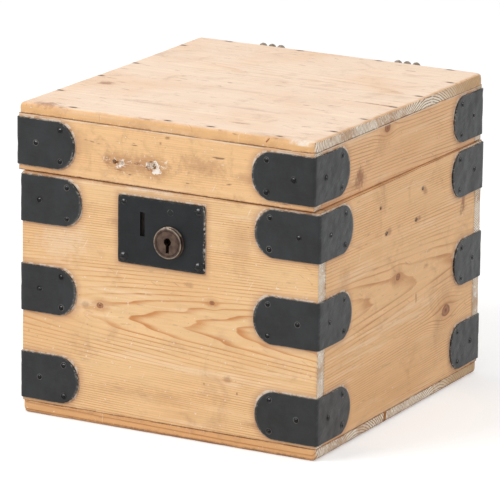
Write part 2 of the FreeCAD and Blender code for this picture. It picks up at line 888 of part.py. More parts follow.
def walls(low_z, high_z):
    """Front, back, left and right boards between two heights; the sides fit between the others."""
    outer = wall_corner_round
    front = board(
        point(left_x, front_y, low_z), point(right_x, inner_front_y, high_z), (outer, outer, 0, 0)
    )
    back = board(
        point(left_x, inner_back_y, low_z), point(right_x, back_y, high_z), (0, 0, outer, outer)
    )
    left = block(point(left_x, inner_front_y, low_z), point(inner_left_x, inner_back_y, high_z))
    right = block(point(inner_right_x, inner_front_y, low_z), point(right_x, inner_back_y, high_z))
    return {"front": front, "back": back, "left": left, "right": right}


def bottom_boards():
    """Two boards under the walls, with a narrow shrinkage gap between them."""
    joint_y = front_y + box_depth * bottom_joint_share
    worn = bottom_corner_round
    front = board(
        point(left_x, front_y, 0), point(right_x, joint_y - bottom_joint_gap / 2, wall_bottom_z),
        (worn, worn, 0, 0)
    )
    rear = board(
        point(left_x, joint_y + bottom_joint_gap / 2, 0), point(right_x, back_y, wall_bottom_z),
        (0, 0, worn, worn)
    )
    return front, rear


def lid_top_board():
    """The board on top of the lid, with rounded corners and a rounded upper edge."""
    low = point(left_x + lid_top_inset, front_y + lid_top_inset, lid_rail_top_z)
    high = point(right_x - lid_top_inset, back_y - lid_top_inset, lid_top_z)
    top = board(low, high, [lid_top_corner_round] * 4)
    upper_edges = [
        edge for edge in top.Edges
        if all(vertex.Point.z > low.z + lid_top_thickness / 2 for vertex in edge.Vertexes)
    ]
    return top.makeFillet(lid_top_edge_round, upper_edges)


body_walls = walls(wall_bottom_z, wall_top_z)
lid_rails = walls(lid_bottom_z, lid_rail_top_z)
front_bottom_board, rear_bottom_board = bottom_boards()

pieces = {}
pieces["front_board"] = body_walls["front"].cut(lock_pocket())
pieces["back_board"] = body_walls["back"]
pieces["left_board"] = body_walls["left"].cut(handle_holes(-1))
pieces["right_board"] = body_walls["right"].cut(handle_holes(1))
pieces["bottom_front_board"] = front_bottom_board
pieces["bottom_rear_board"] = rear_bottom_board
pieces["lid_front_rail"] = on_lid(lid_rails["front"].cut(hasp_holes()))
pieces["lid_back_rail"] = on_lid(lid_rails["back"]).cut(hinge_room())
pieces["lid_left_rail"] = on_lid(lid_rails["left"])
pieces["lid_right_rail"] = on_lid(lid_rails["right"])
pieces["lid_top_board"] = on_lid(lid_top_board())
pieces.update(straps)
pieces["body_strap_nails"] = Part.makeCompound(body_strap_nails)
pieces["lid_strap_nails"] = Part.makeCompound(lid_strap_nails)
pieces["body_corner_brads"] = Part.makeCompound(body_corner_brads)
pieces["lid_corner_brads"] = Part.makeCompound(lid_corner_brads)
pieces["lid_top_brads"] = Part.makeCompound(lid_top_brads)
pieces["bottom_brads"] = Part.makeCompound(bottom_brads)
pieces["body_hinge_nails"] = Part.makeCompound(body_hinge_nails)
pieces["lid_hinge_nails"] = Part.makeCompound(lid_hinge_nails)
for side, centre_x in hinge_centres.items():
    body_leaf, lid_leaf, pin = make_hinge(centre_x)
    pieces["hinge_body_leaf_" + side] = body_leaf
    pieces["hinge_lid_leaf_" + side] = lid_leaf
    pieces["hinge_pin_" + side] = pin
pieces["lock_plate"] = make_lock_plate()
pieces["lock_screws"] = Part.makeCompound(lock_screws)
pieces["keyhole_boss"] = make_keyhole_boss()
pieces["lock_case"] = make_lock_case()
pieces["lock_bolt"] = make_bolt()
pieces["bolt_guides"] = Part.makeCompound(make_bolt_guides())
pieces["spring_post"] = make_spring_post()
pieces["bolt_spring"] = make_bolt_spring()
pieces["key_ward"] = make_key_ward()

os.makedirs("parts", exist_ok=True)
for name, shape in pieces.items():
    shape.exportStep(os.path.join("parts", name + ".step"))
    print(name, "solids", len(shape.Solids), "volume", round(shape.Volume, 1), "valid", shape.isValid())
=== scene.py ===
import json
import math
import random

import bmesh
import bpy
from mathutils import Matrix, Vector, noise

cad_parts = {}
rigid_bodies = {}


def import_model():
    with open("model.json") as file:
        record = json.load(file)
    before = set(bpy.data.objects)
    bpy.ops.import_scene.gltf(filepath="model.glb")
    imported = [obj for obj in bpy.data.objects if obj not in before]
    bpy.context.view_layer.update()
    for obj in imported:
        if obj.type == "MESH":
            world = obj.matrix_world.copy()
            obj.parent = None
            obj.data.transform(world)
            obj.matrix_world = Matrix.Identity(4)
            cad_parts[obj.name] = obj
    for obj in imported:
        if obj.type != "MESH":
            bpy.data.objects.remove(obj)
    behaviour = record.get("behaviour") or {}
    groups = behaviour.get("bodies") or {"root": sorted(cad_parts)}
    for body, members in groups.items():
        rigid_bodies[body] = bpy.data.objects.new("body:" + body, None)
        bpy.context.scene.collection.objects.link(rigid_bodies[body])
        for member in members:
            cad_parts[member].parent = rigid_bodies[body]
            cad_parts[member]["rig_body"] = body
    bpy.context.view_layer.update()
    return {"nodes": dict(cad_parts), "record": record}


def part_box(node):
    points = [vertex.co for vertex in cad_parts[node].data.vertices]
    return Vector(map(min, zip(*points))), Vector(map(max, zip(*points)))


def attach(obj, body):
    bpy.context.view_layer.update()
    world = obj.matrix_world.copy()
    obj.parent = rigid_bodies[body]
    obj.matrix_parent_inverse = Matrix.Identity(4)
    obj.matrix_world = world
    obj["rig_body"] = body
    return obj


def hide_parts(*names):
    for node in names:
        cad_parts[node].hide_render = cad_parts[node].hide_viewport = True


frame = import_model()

# The looks of a pine box bound with iron straps, in metres, in the frame of its CAD model.

mm = 0.001
dice = random.Random(5)

# Places taken from the frame
front_low, front_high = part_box("front_board")
left_x, right_x = front_low.x, front_high.x
front_y, back_y = front_low.y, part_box("back_board")[1].y
wall_low_z, wall_high_z = front_low.z, front_high.z
board_thickness = front_high.y - front_low.y
lid_low_z, rail_high_z = (corner.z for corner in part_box("lid_front_rail"))
lid_high_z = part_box("lid_top_board")[1].z
middle = Vector((0, 0, rail_high_z / 2))
strap_rows = ("lid", "upper", "middle", "lower")
strap_corners = ("front_left", "front_right", "back_left", "back_right")

# The lid sits a little out of true on its worn hinges
lid_skew = math.radians(0.75)
lid_shift = 0.7 * mm
lid_turn = (
    Matrix.Translation((-lid_shift, back_y, 0))
    @ Matrix.Rotation(-lid_skew, 4, "Z")
    @ Matrix.Translation((0, -back_y, 0))
)
lid_back_turn = lid_turn.inverted()


def lengths(*values):
    """Millimetres as metres."""
    return [value * mm for value in values]


def tone(red, green, blue):
    """A colour given as it looks on a screen, from 0 to 255."""
    return tuple((value / 255) ** 2.2 for value in (red, green, blue)) + (1,)


# Shader sums


class Field:
    """One socket of a finish, so that sums on it read as plain expressions."""

    def __init__(self, finish, socket):
        self.finish = finish
        self.socket = socket

    def __add__(self, other):
        return self.finish.maths("ADD", self, other)

    def __radd__(self, other):
        return self.finish.maths("ADD", other, self)

    def __sub__(self, other):
        return self.finish.maths("SUBTRACT", self, other)

    def __rsub__(self, other):
        return self.finish.maths("SUBTRACT", other, self)

    def __mul__(self, other):
        return self.finish.maths("MULTIPLY", self, other)

    def __rmul__(self, other):
        return self.finish.maths("MULTIPLY", other, self)

    def __truediv__(self, other):
        return self.finish.maths("DIVIDE", self, other)


class Finish:
    """The nodes of a material or world, with one method that adds any node to them."""

    def __init__(self, owner):
        owner.use_nodes = True
        self.owner = owner
        self.tree = owner.node_tree

    def join(self, socket, value):
        if isinstance(value, Field):
            self.tree.links.new(value.socket, socket)
        else:
            socket.default_value = value

    def node(self, kind, settings, inputs, output=0):
        made = self.tree.nodes.new(kind)
        for setting, value in settings.items():
            setattr(made, setting, value)
        for key, value in inputs.items():
            self.join(made.inputs[key], value)
        return Field(self, made.outputs[output])

    def feed(self, node_name, **values):
        """Sets or joins sockets of a node that was there from the start, and hands over the owner."""
        for name, value in values.items():
            self.join(self.tree.nodes[node_name].inputs[name.replace("_", " ")], value)
        return self.owner

    def close(self, roughness, relief, depth, metallic=0, **sockets):
        """Joins the colour, the roughness and a relief of some depth to the shader."""
        normal = self.node("ShaderNodeBump", {}, {"Height": relief, "Distance": depth, "Strength": 1})
        return self.feed(
            "Principled BSDF", Base_Color=self.colour, Roughness=roughness, Normal=normal,
            Metallic=metallic, **sockets,
        )

    def maths(self, operation, *values):
        return self.node("ShaderNodeMath", {"operation": operation}, dict(enumerate(values)))

    def vectors(self, operation, *values, output=0):
        return self.node("ShaderNodeVectorMath", {"operation": operation}, dict(enumerate(values)), output)

    def smooth(self, value, start, end):
        """0 before start and 1 after end, or the other way round when start is the larger."""
        low, high, first, last = (start, end, 0, 1) if start < end else (end, start, 1, 0)
        return self.node(
            "ShaderNodeMapRange", {"interpolation_type": "SMOOTHSTEP"},
            {"Value": value, "From Min": low, "From Max": high, "To Min": first, "To Max": last},
        )

    def combine(self, x, y, z):
        return self.node("ShaderNodeCombineXYZ", {}, {0: x, 1: y, 2: z})

    def parts(self, vector):
        return [self.node("ShaderNodeSeparateXYZ", {}, {0: vector}, axis) for axis in range(3)]

    def mix(self, factor, first, second, blend="MIX"):
        settings = {"data_type": "RGBA", "blend_type": blend}
        return self.node("ShaderNodeMix", settings, {"Factor": factor, 6: first, 7: second}, 2)

    def paint(self, amount, ink):
        """Lays a colour over the finish's own."""
        self.colour = self.mix(amount, self.colour, ink)

    def noise(self, place, scale, detail=2, roughness=0.5, warp=0):
        return self.node(
            "ShaderNodeTexNoise", {},
            {"Vector": place, "Scale": scale, "Detail": detail, "Roughness": roughness, "Distortion": warp},
        )

    def mark(self, name):
        """A value stored on the piece's own points."""
        return self.node("ShaderNodeAttribute", {"attribute_name": name}, {}, "Fac")

    def coordinates(self, kind):
        return self.node("ShaderNodeTexCoord", {}, {}, kind)

    def place(self, on_lid=False):
        """The point on the piece, turned back to true for a piece of the lid."""
        place = self.coordinates("Object")
        if on_lid:
            place = self.node("ShaderNodeMapping", {}, {
                "Vector": place, "Location": lid_back_turn.to_translation(), "Rotation": (0, 0, lid_skew),
            })
        return place


def material(name):
    return Finish(bpy.data.materials.new(name))


# Mesh helpers


def shape_of(bm):
    """A loose object that holds a mesh for a moment."""
    mesh = bpy.data.meshes.new("shape")
    bm.to_mesh(mesh)
    bm.free()
    shape = bpy.data.objects.new("shape", mesh)
    bpy.context.scene.collection.objects.link(shape)
    return shape


def carve(bm, cutters):
    """The mesh with closed cutters taken out of it."""
    target = shape_of(bm)
    tools = [shape_of(cutter) for cutter in cutters]
    for tool in tools:
        cut = target.modifiers.new("cut", "BOOLEAN")
        cut.operation = "DIFFERENCE"
        cut.solver = "EXACT"
        cut.object = tool
    bpy.context.view_layer.update()
    graph = bpy.context.evaluated_depsgraph_get()
    carved = bmesh.new()
    carved.from_mesh(target.evaluated_get(graph).to_mesh())
    for shape in [target] + tools:
        mesh = shape.data
        bpy.data.objects.remove(shape)
        bpy.data.meshes.remove(mesh)
    return carved


def moved(bm, matrix):
    bmesh.ops.transform(bm, matrix=matrix, verts=bm.verts)
    return bm


def add_copy(bm, template, matrix):
    """Adds a placed copy of a template mesh."""
    start = len(bm.verts)
    bm.from_mesh(template)
    bm.verts.ensure_lookup_table()
    bmesh.ops.transform(bm, matrix=matrix, verts=bm.verts[start:])


def as_template(bm):
    mesh = bpy.data.meshes.new("template")
    bm.to_mesh(mesh)
    bm.free()
    return mesh


def store(bm, name, rule):
    """Stores a value on each point of a mesh, for a finish to read."""
    layer = bm.verts.layers.float.new(name)
    for vert in bm.verts:
        vert[layer] = float(rule(vert))
    return layer


def aim(direction):
    """The turn that takes +Z to a direction."""
    return direction.to_track_quat("Z", "Y").to_matrix().to_4x4()


def piece(name, bm, body, nodes, finish, smooth_degrees=40):
    """Finishes a piece: its mesh, its finish, the body that it rides on and the nodes that it stands for."""
    if body == "lid":
        moved(bm, lid_turn)
    mesh = bpy.data.meshes.new(name)
    bm.to_mesh(mesh)
    bm.free()
    mesh.shade_smooth()
    mesh.set_sharp_from_angle(angle=math.radians(smooth_degrees))
    mesh.materials.append(finish)
    made = bpy.data.objects.new(name, mesh)
    bpy.context.scene.collection.objects.link(made)
    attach(made, body)
    if nodes:
        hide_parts(*nodes)


def box_mesh(low, high):
    bm = bmesh.new()
    bmesh.ops.create_cube(bm, size=1)
    bmesh.ops.scale(bm, vec=high - low, verts=bm.verts)
    bmesh.ops.translate(bm, vec=(low + high) / 2, verts=bm.verts)
    return bm


def divide(bm, size, cuts):
    """Cuts the edges that run right across a box, by a number of cuts along each axis."""
    for axis, count in cuts:
        chosen = [
            edge for edge in bm.edges
            if abs(edge.verts[0].co[axis] - edge.verts[1].co[axis]) > 0.5 * size[axis]
        ]
        bmesh.ops.subdivide_edges(bm, edges=chosen, cuts=count, use_grid_fill=True)


def bevel(bm, edges, offset, segments, **limits):
    bmesh.ops.bevel(
        bm, geom=edges, offset=offset, segments=segments, profile=0.5, affect="EDGES", material=-1, **limits
    )


def rod(radius, start, end, segments):
    """A closed rod between two points."""
    bm = bmesh.new()
    run = end - start
    bmesh.ops.create_cone(
        bm, cap_ends=True, segments=segments, radius1=radius, radius2=radius, depth=run.length
    )
    return moved(bm, Matrix.Translation((start + end) / 2) @ aim(run))


def lathe(profile, steps, ring=False):
    """A turned shape about +Z from points of radius and height: closed by a flat base, or a ring."""
    bm = bmesh.new()
    points = [bm.verts.new((radius, 0, height)) for radius, height in profile]
    following = points[1:] + points[:1] if ring else points[1:]
    edges = [bm.edges.new(pair) for pair in zip(points, following)]
    bmesh.ops.spin(
        bm, geom=points + edges, cent=(0, 0, 0), axis=(0, 0, 1), angle=math.tau, steps=steps, use_merge=True
    )
    if not ring:
        bmesh.ops.remove_doubles(bm, verts=bm.verts, dist=0.001 * mm)
        bmesh.ops.holes_fill(bm, edges=[edge for edge in bm.edges if edge.is_boundary], sides=steps)
    bmesh.ops.recalc_face_normals(bm, faces=bm.faces)
    return bm


def solid_boxes(node):
    """The lowest and highest corner of each solid of a node, turned back to true for the lid."""
    bm = bmesh.new()
    bm.from_mesh(frame["nodes"][node].data)
    if frame["nodes"][node]["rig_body"] == "lid":
        moved(bm, lid_back_turn)
    bmesh.ops.remove_doubles(bm, verts=bm.verts, dist=0.01 * mm)
    waiting = set(bm.verts)
    boxes = []
    while waiting:
        reached = [waiting.pop()]
        points = []
        while reached:
            vert = reached.pop()
            points.append(vert.co.copy())
            for edge in vert.link_edges:
                other = edge.other_vert(vert)
                if other in waiting:
                    waiting.remove(other)
                    reached.append(other)
        boxes.append((Vector(map(min, *points)), Vector(map(max, *points))))
    bm.free()
    return sorted(boxes, key=lambda box: tuple(round(value, 4) for value in box[0]))


def fastenings(node):
    """The outer end and outward direction of each nail, brad or screw of a node."""
    found = []
    for low, high in solid_boxes(node):
        size = high - low
        axis = max(range(3), key=lambda index: size[index])
        end = (low + high) / 2
        side = 1 if end[axis] > middle[axis] else -1
        end[axis] = high[axis] if side > 0 else low[axis]
        out = Vector((0, 0, 0))
        out[axis] = side
        found.append((end, out))
    return found


# Wood

pale_wood = tone(239, 197, 146)
dark_line = tone(198, 124, 64)
strap_end_round = 20 * mm


def ironwork_on(face):
    """Outlines of the ironwork on a face of the box, as centre, half size and corner round."""
    across = 0 if face in ("front", "back") else 1
    outlines = []

    def add(first, last, bottom, top, corner):
        outlines.append((
            ((first + last) / 2, (bottom + top) / 2), ((last - first) / 2, (top - bottom) / 2), corner
        ))

    for row in strap_rows:
        for corner in strap_corners:
            if face in corner:
                low, high = solid_boxes(row + "_strap_" + corner)[0]
                first, last = low[across], high[across]
                if first + last < 0:
                    first -= strap_end_round
                else:
                    last += strap_end_round
                add(first, last, low.z, high.z, strap_end_round)
    if face == "front":
        low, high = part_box("lock_plate")
        add(low.x, high.x, low.z, high.z, 0.5 * mm)
    return outlines


class Pine(Finish):
    """Pine sawn from a log: rings about a pith that runs along the board, cut by the board's faces."""

    def __init__(self, name, axes, on_lid):
        super().__init__(bpy.data.materials.new(name))
        self.spot = self.place(on_lid)
        self.true_parts = self.parts(self.spot)
        self.along, self.across, self.depth = (self.true_parts[axis] for axis in axes)
        self.face = self.combine(self.along, self.across, 0)
        self.end_axis = axes[0]
        self.normal = self.parts(self.coordinates("Normal"))
        self.upright = self.smooth(self.maths("ABSOLUTE", self.normal[2]), 0.985, 0.90)
        self.face_at = (right_x, -front_y, lid_high_z)[axes[2]]
        inward = self.face_at - self.maths("ABSOLUTE", self.depth)
        self.outside = self.smooth(inward, 6 * mm, 4 * mm)
        self.log = self.drawn(0.12)
        self.cloud = self.noise(self.spot, 9, 3, 0.55)
        self.grime = self.noise(self.spot, 30, 5, 0.65, 0.6)
        self.uneven = self.grime - 0.5
        self.broken = self.noise(self.spot, 150, 4, 0.7)
        self.fine = self.noise(self.spot, 480, 3, 0.6)
        self.ripple = self.noise(self.drawn(0.07), 62, 2, 0.5) - 0.5
        self.threads = self.drawn(0.05)
        self.fibre = self.noise(self.threads, 1300, 2, 0.6)
        self.streak = self.noise(self.threads, 240, 2, 0.6)
        self.mottle = self.noise(self.drawn(0.3), 60, 4, 0.7, 0.5)

    def drawn(self, share):
        """The point with less of its run along the grain, for patterns that are drawn out along it."""
        return self.combine(self.along * share, self.across, self.depth)

    def distance_to(self, along, across, stretch):
        """How far a point of the face lies from a place, shorter along the grain."""
        squeezed = self.vectors("MULTIPLY", self.face, (1 / stretch, 1, 1))
        return self.vectors("DISTANCE", squeezed, (along / stretch, across, 0), output=1)

    def nearest(self, distances):
        found = distances[0]
        for distance in distances[1:]:
            found = self.maths("MINIMUM", found, distance)
        return found

    def nearest_to(self, places, stretch):
        return self.nearest([self.distance_to(along, across, stretch) for along, across in places])

    def rings(self, pith, slope, spacing, swirl, knots):
        """How far each point is into the dark late wood of its year, with rings that bend round knots."""
        wander = self.noise(self.log, 15, 2, 0.5) - 0.5
        rise = self.across - pith[0] + wander * swirl
        reach = self.depth - pith[1] + self.along * slope + self.ripple * (swirl * 0.34)
        radius = self.maths("SQRT", rise * rise + reach * reach)
        face_at = math.copysign(self.face_at, pith[1])
        for along, across, size in knots:
            core = math.hypot(across - pith[0], face_at - pith[1] + along * slope)
            swell = self.smooth(self.distance_to(along, across, 1.7), 4.2 * size, 0)
            radius = radius + (core - radius) * swell
        years = self.noise(self.combine(radius, 0, 0), 80, 1, 0.5)
        ring = self.maths("FRACT", radius / spacing + years * 0.8)
        late = self.smooth(ring, 0.50, 0.94)
        strong = self.noise(self.combine(radius, self.along * 0.15, 0), 55, 1, 0.5)
        return late * late * self.smooth(ring, 1.0, 0.95) * (0.30 + 0.85 * self.smooth(strong, 0.35, 0.65))

    def paint_knots(self, knots):
        """A soft halo, a dark ring, a redder heart and a dark core for each knot."""
        for along, across, size in knots:
            distance = self.distance_to(along, across, 1.35) + self.ripple * (1.2 * size)
            for outer, inner, amount, ink in (
                (3.4, 0.9, 0.35, tone(190, 132, 88)), (1, 0.8, 0.85, tone(134, 82, 52)),
                (0.8, 0.5, 0.65, tone(184, 128, 94)), (0.45, 0.1, 0.75, tone(100, 62, 46)),
            ):
                self.paint(self.smooth(distance, outer * size, inner * size) * amount, ink)

    def paint_patches(self, patches, ink):
        """Soft patches, each with its place and half sizes in millimetres, and its strength."""
        for *patch, amount in patches:
            along, across, half_along, half_across = lengths(*patch)
            offset = self.vectors("SUBTRACT", self.face, (along, across, 0))
            offset = self.vectors("DIVIDE", offset, (half_along, half_across, 1))
            reach = self.vectors("LENGTH", offset, output=1) + self.uneven * 1.6
            reach = reach + (self.broken - 0.5) * 1.8
            self.paint(self.smooth(reach, 1.0, 0.1) * self.outside * amount, ink)

    def outline_distance(self, outlines, drop=0):
        """How far a point of a face lies outside the nearest of several rounded outlines."""
        distances = []
        for centre, half, corner in outlines:
            offset = self.vectors("SUBTRACT", self.face, (centre[0], centre[1] + drop, 0))
            offset = self.vectors("ABSOLUTE", offset)
            offset = self.vectors("SUBTRACT", offset, (half[0] - corner, half[1] - corner, 0))
            offset = self.vectors("MAXIMUM", offset, (0, 0, 0))
            distances.append(self.vectors("LENGTH", offset, output=1) - corner)
        return self.nearest(distances)

    def paint_irons(self, irons):
        """The brown stain and painted shade about the ironwork on pine, a darker painted shade close along
        its edges, and the pale residue along its upper edges.
        """
        gap = self.outline_distance(irons)
        # Iron stain with painted shade: a soft brown halo about the ironwork
        shade = self.smooth(gap + self.uneven * (9 * mm), 9 * mm, -1 * mm)
        self.paint(shade * self.outside * 0.42, tone(178, 128, 102))
        # Painted shade: a darker line close along the edges of the ironwork
        painted_edge_shade = self.smooth(gap, 1.3 * mm, 0.2 * mm) * self.outside
        self.paint(painted_edge_shade * 0.40, tone(130, 94, 74))
        above = self.smooth(self.outline_distance(irons, 1.3 * mm), 0.8 * mm, 0)
        pale = above * self.smooth(self.broken, 0.40, 0.56) * 0.85
        around = self.smooth(gap, 1.0 * mm, 0.5 * mm) * self.smooth(self.broken, 0.50, 0.62) * 0.55
        self.paint(self.maths("MAXIMUM", pale, around) * self.outside, tone(234, 216, 198))

    def paint_seams(self, seams):
        """Lines along the joints at given heights: dark dirt, pale residue, and the painted shadow along the
        gap under the lid.
        """
        for height, reach, ink, amount in seams:
            away = self.maths("ABSOLUTE", self.true_parts[2] - height) + (self.fine - 0.5) * reach
            line = self.smooth(away, reach, 0.35 * reach) * self.upright * amount
            if amount < 1:
                line = line * self.smooth(self.mottle, 0.36, 0.54)
            self.paint(line, ink)

    def paint_tears(self, tears):
        """Brown edges, pale flakes and bare wood about the places where wood was torn out."""
        ragged = (self.noise(self.spot, 190, 4, 0.7) - 0.5) * (13 * mm)
        torn = self.nearest_to(tears, 1.5)
        self.paint(self.smooth(torn + ragged, 15 * mm, 3 * mm) * self.outside * 0.45, tone(166, 112, 70))
        flakes = self.smooth(self.noise(self.face, 150, 4, 0.7, 0.8), 0.60, 0.64)
        self.paint(self.smooth(torn, 19 * mm, 9 * mm) * flakes * self.outside * 0.7, tone(250, 238, 220))
        self.paint(self.smooth(torn + ragged, 3.6 * mm, 2.6 * mm) * 0.95, tone(250, 242, 230))

    def scratches(self, lean, seed):
        """Short straight scratches that lean across the grain, seen here and there."""
        run = self.along * math.cos(lean) + self.across * math.sin(lean) + seed
        side = self.across * math.cos(lean) - self.along * math.sin(lean)
        lines = self.noise(self.combine(run * 0.07, side, 0), 620, 1, 0.5)
        return self.smooth(lines, 0.70, 0.76) * self.smooth(self.noise(self.spot, 22, 2, 0.5), 0.50, 0.58)

    def end_colour(self, late, flat):
        """Rough end grain: pale fuzz on the ridges, grey dirt between them, a flat board's back duller."""
        crumb = self.noise(self.spot, 230, 4, 0.7)
        colour = self.mix(self.smooth(late, 0.02, 0.16) * self.smooth(crumb, 0.22, 0.40) * 0.85,
                          tone(255, 240, 218), tone(130, 84, 52))
        colour = self.mix(self.smooth(self.grime, 0.44, 0.66) * 0.6, colour, tone(186, 140, 98))
        colour = self.mix(self.smooth(crumb, 0.57, 0.63) * 0.85, colour, tone(255, 250, 242))
        if flat:
            dull = self.smooth(self.across + self.uneven * (60 * mm), 60 * mm, 130 * mm)
            colour = self.mix(dull * 0.82, colour, tone(206, 168, 124))
        return colour


def pine(name, axes, pith, slope, light=pale_wood, dark=dark_line, spacing=2.0 * mm, swirl=8 * mm,
         contrast=0.75, knots=(), spots=(), stains=(), irons=(), seams=(), tears=(), edge_wood=None,
         on_lid=False, grey=0.0, spot_stretch=1.4, dashes=0.25, bleaches=(), dirtiness=0.36):
    """The finish of one board. Knots, stains and bleaches are given in millimetres, all else in metres."""
    wood = Pine(name, axes, on_lid)
    knots = [lengths(*knot) for knot in knots]
    late = wood.rings(pith, slope, spacing, swirl, knots)
    lines = late * contrast
    worn = wood.mark("worn")

    wood.colour = wood.mix(lines, light, dark)
    # Painted light on the lid top: faces that turn from the top take the edge wood, so the upward face alone
    # keeps the colour made paler for the light and sheen from above; worn edges take the edge wood too
    if edge_wood:
        edge = wood.smooth(wood.normal[2] + wood.uneven * 0.3, 0.97, 0.60)
        worn_and_highlight = wood.smooth(worn + wood.uneven * 0.5, 0.10, 0.50) * 0.65
        wood.paint(wood.maths("MAXIMUM", edge, worn_and_highlight), wood.mix(late * 0.6, edge_wood, dark))
    wood.paint(wood.smooth(wood.cloud, 0.42, 0.72) * 0.30, tone(224, 168, 112))
    bleached = wood.smooth(wood.noise(wood.log, 34, 3, 0.6), 0.50, 0.72)
    wood.paint(bleached * wood.smooth(wood.streak, 0.46, 0.60) * 0.34, tone(250, 228, 198))
    wood.paint_knots(knots)
    tint = 0.735 + wood.fibre * 0.20 + wood.streak * 0.19 + wood.mottle * 0.14
    wood.colour = wood.mix(1, wood.colour, wood.combine(tint, tint, tint), "MULTIPLY")

    dirt = wood.smooth(wood.grime, 0.52, 0.80) * dirtiness
    wood.paint(dirt, tone(164, 120, 90))
    pores = wood.noise(wood.drawn(0.16), 260, 2, 0.6)
    wood.paint(wood.smooth(pores, 0.66, 0.72) * dashes, tone(142, 108, 84))
    specks = wood.smooth(wood.noise(wood.face, 430, 2, 0.5), 0.70, 0.76)
    wood.paint(specks * 0.5, tone(116, 80, 58))
    chips = wood.smooth(wood.noise(wood.spot, 330, 2, 0.5), 0.725, 0.75)
    wood.paint(chips * 0.8, tone(250, 242, 230))
    wood.paint(wood.scratches(1.1, 0.3) * 0.5, tone(250, 232, 208))
    wood.paint(wood.scratches(-0.5, 0.7) * 0.45, tone(168, 118, 82))
    wood.paint_patches(stains, tone(154, 103, 74))
    wood.paint_patches(bleaches, tone(250, 240, 226))
    if spots:
        near = wood.nearest_to(spots, spot_stretch) + wood.uneven * (2.5 * mm)
        wood.paint(wood.smooth(near, 4.4 * mm, 1.0 * mm) * wood.outside * 0.42, tone(148, 100, 72))
        wood.paint(wood.smooth(near, 2.4 * mm, 1.4 * mm) * wood.outside * 0.8, tone(62, 44, 34))
    if irons:
        wood.paint_irons(irons)
    if tears:
        wood.paint_tears(tears)

    end = wood.smooth(wood.maths("ABSOLUTE", wood.normal[wood.end_axis]), 0.60, 0.88)
    wood.paint(end, wood.end_colour(late, axes == flat_axes))
    wood.paint(worn * wood.smooth(wood.grime, 0.36, 0.60) * 0.5, tone(186, 130, 84))
    wood.paint(worn * wood.smooth(wood.fine, 0.58, 0.66) * 0.4, tone(244, 228, 208))
    if grey:
        wood.paint(grey * wood.smooth(wood.cloud, 0.3, 0.7), tone(206, 180, 152))
    wood.paint_seams(seams)

    relief = wood.fibre * 0.35 - lines * 0.35 + wood.mottle * 0.5 + wood.noise(wood.spot, 160, 3, 0.6) * 0.6
    relief = relief + end * (wood.fine * 2.4 - late * 1.4)
    roughness = 0.52 + wood.fibre * 0.14 + dirt * 0.2 + end * 0.2
    return wood.close(roughness, relief, 0.26 * mm, Specular_IOR_Level=0.35)


def crowded(share, amount):
    """A share of a run, moved towards the nearer end."""
    return share - amount * math.sin(math.tau * share) / math.tau


def board_mesh(low, high, axes, edge_round, cuts, crowding=0.88):
    """A board with rounded edges and a mesh that is finest along its edges."""
    bm = box_mesh(low, high)
    bevel(bm, bm.edges[:], edge_round, 3)
    size = high - low
    divide(bm, size, zip(axes, cuts))
    across = axes[1]
    start = low[across] + edge_round
    run = size[across] - 2 * edge_round
    for vert in bm.verts:
        share = (vert.co[across] - start) / run
        if 0 < share < 1:
            vert.co[across] = start + run * crowded(share, crowding)
    return bm


def fine_box(low, high, cuts, crowding=0.8):
    """A box with a grid on each face that crowds towards the edges."""
    bm = box_mesh(low, high)
    divide(bm, high - low, enumerate(cuts))
    for vert in bm.verts:
        for axis in range(2):
            run = high[axis] - low[axis]
            vert.co[axis] = low[axis] + run * crowded((vert.co[axis] - low[axis]) / run, crowding)
    return bm


def round_corners(bm, low, high, axes, radius, sides):
    """Rounds the edges of a fine box that run across two axes, on the sides that are named."""
    first, second = axes
    for vert in bm.verts:
        for side_first, side_second in sides:
            centre_first = high[first] - radius if side_first > 0 else low[first] + radius
            centre_second = high[second] - radius if side_second > 0 else low[second] + radius
            offset = Vector((vert.co[first] - centre_first, vert.co[second] - centre_second))
            if offset.x * side_first > 0 and offset.y * side_second > 0:
                reach = max(abs(offset.x), abs(offset.y))
                offset = offset.normalized() * reach
                vert.co[first] = centre_first + offset.x
                vert.co[second] = centre_second + offset.y


def wear_edges(bm, low, high, depth, seed, reach=6 * mm):
    """Rubs the edges of a board down unevenly and marks how worn each point is."""
    coarse, fine, chipped = 55, 170, 28
    chips_over = 0.42
    worn = bm.verts.layers.float.new("worn")
    shift = Vector((seed * 3.1, seed * 1.7, seed * 0.9))
    for vert in bm.verts:
        gaps = []
        for axis in range(3):
            below = vert.co[axis] - low[axis]
            above = high[axis] - vert.co[axis]
            gaps.append((min(below, above), axis, 1 if below < above else -1))
        gaps.sort()
        (first, first_axis, first_side), (second, second_axis, second_side) = gaps[:2]
        away = math.hypot(first, second)
        if away > reach:
            continue
        closeness = (1 - away / reach) ** 2
        rough = noise.noise(vert.co * coarse + shift) + 0.6 * noise.noise(vert.co * fine + shift)
        dent = max(0.0, rough + 0.10) * closeness
        chip = max(0.0, noise.noise(vert.co * chipped + shift * 2) - chips_over) * 3 * closeness
        inward = Vector((0, 0, 0))
        inward[first_axis] += first_side
        inward[second_axis] += second_side
        vert.co += inward.normalized() * depth * (dent + chip)
        vert[worn] = min(1.0, closeness * (0.6 + dent * 2))


def torn_hole(centre, width, height, seed, depth=3.2 * mm):
    """A ragged closed cutter for wood that was torn or rubbed away."""
    bm = bmesh.new()
    bmesh.ops.create_icosphere(bm, subdivisions=3, radius=1)
    for vert in bm.verts:
        ragged = 1 + 0.35 * noise.noise(vert.co * 2.2 + Vector((seed, 0, 0)))
        vert.co = Vector((
            vert.co.x * width * ragged, vert.co.y * depth * ragged, vert.co.z * height * ragged
        ))
    bmesh.ops.translate(bm, vec=centre, verts=bm.verts)
    return bm


# The axes along the grain, across it and into the board
along_x_axes = (0, 2, 1)
along_y_axes = (1, 2, 0)
flat_axes = (0, 1, 2)
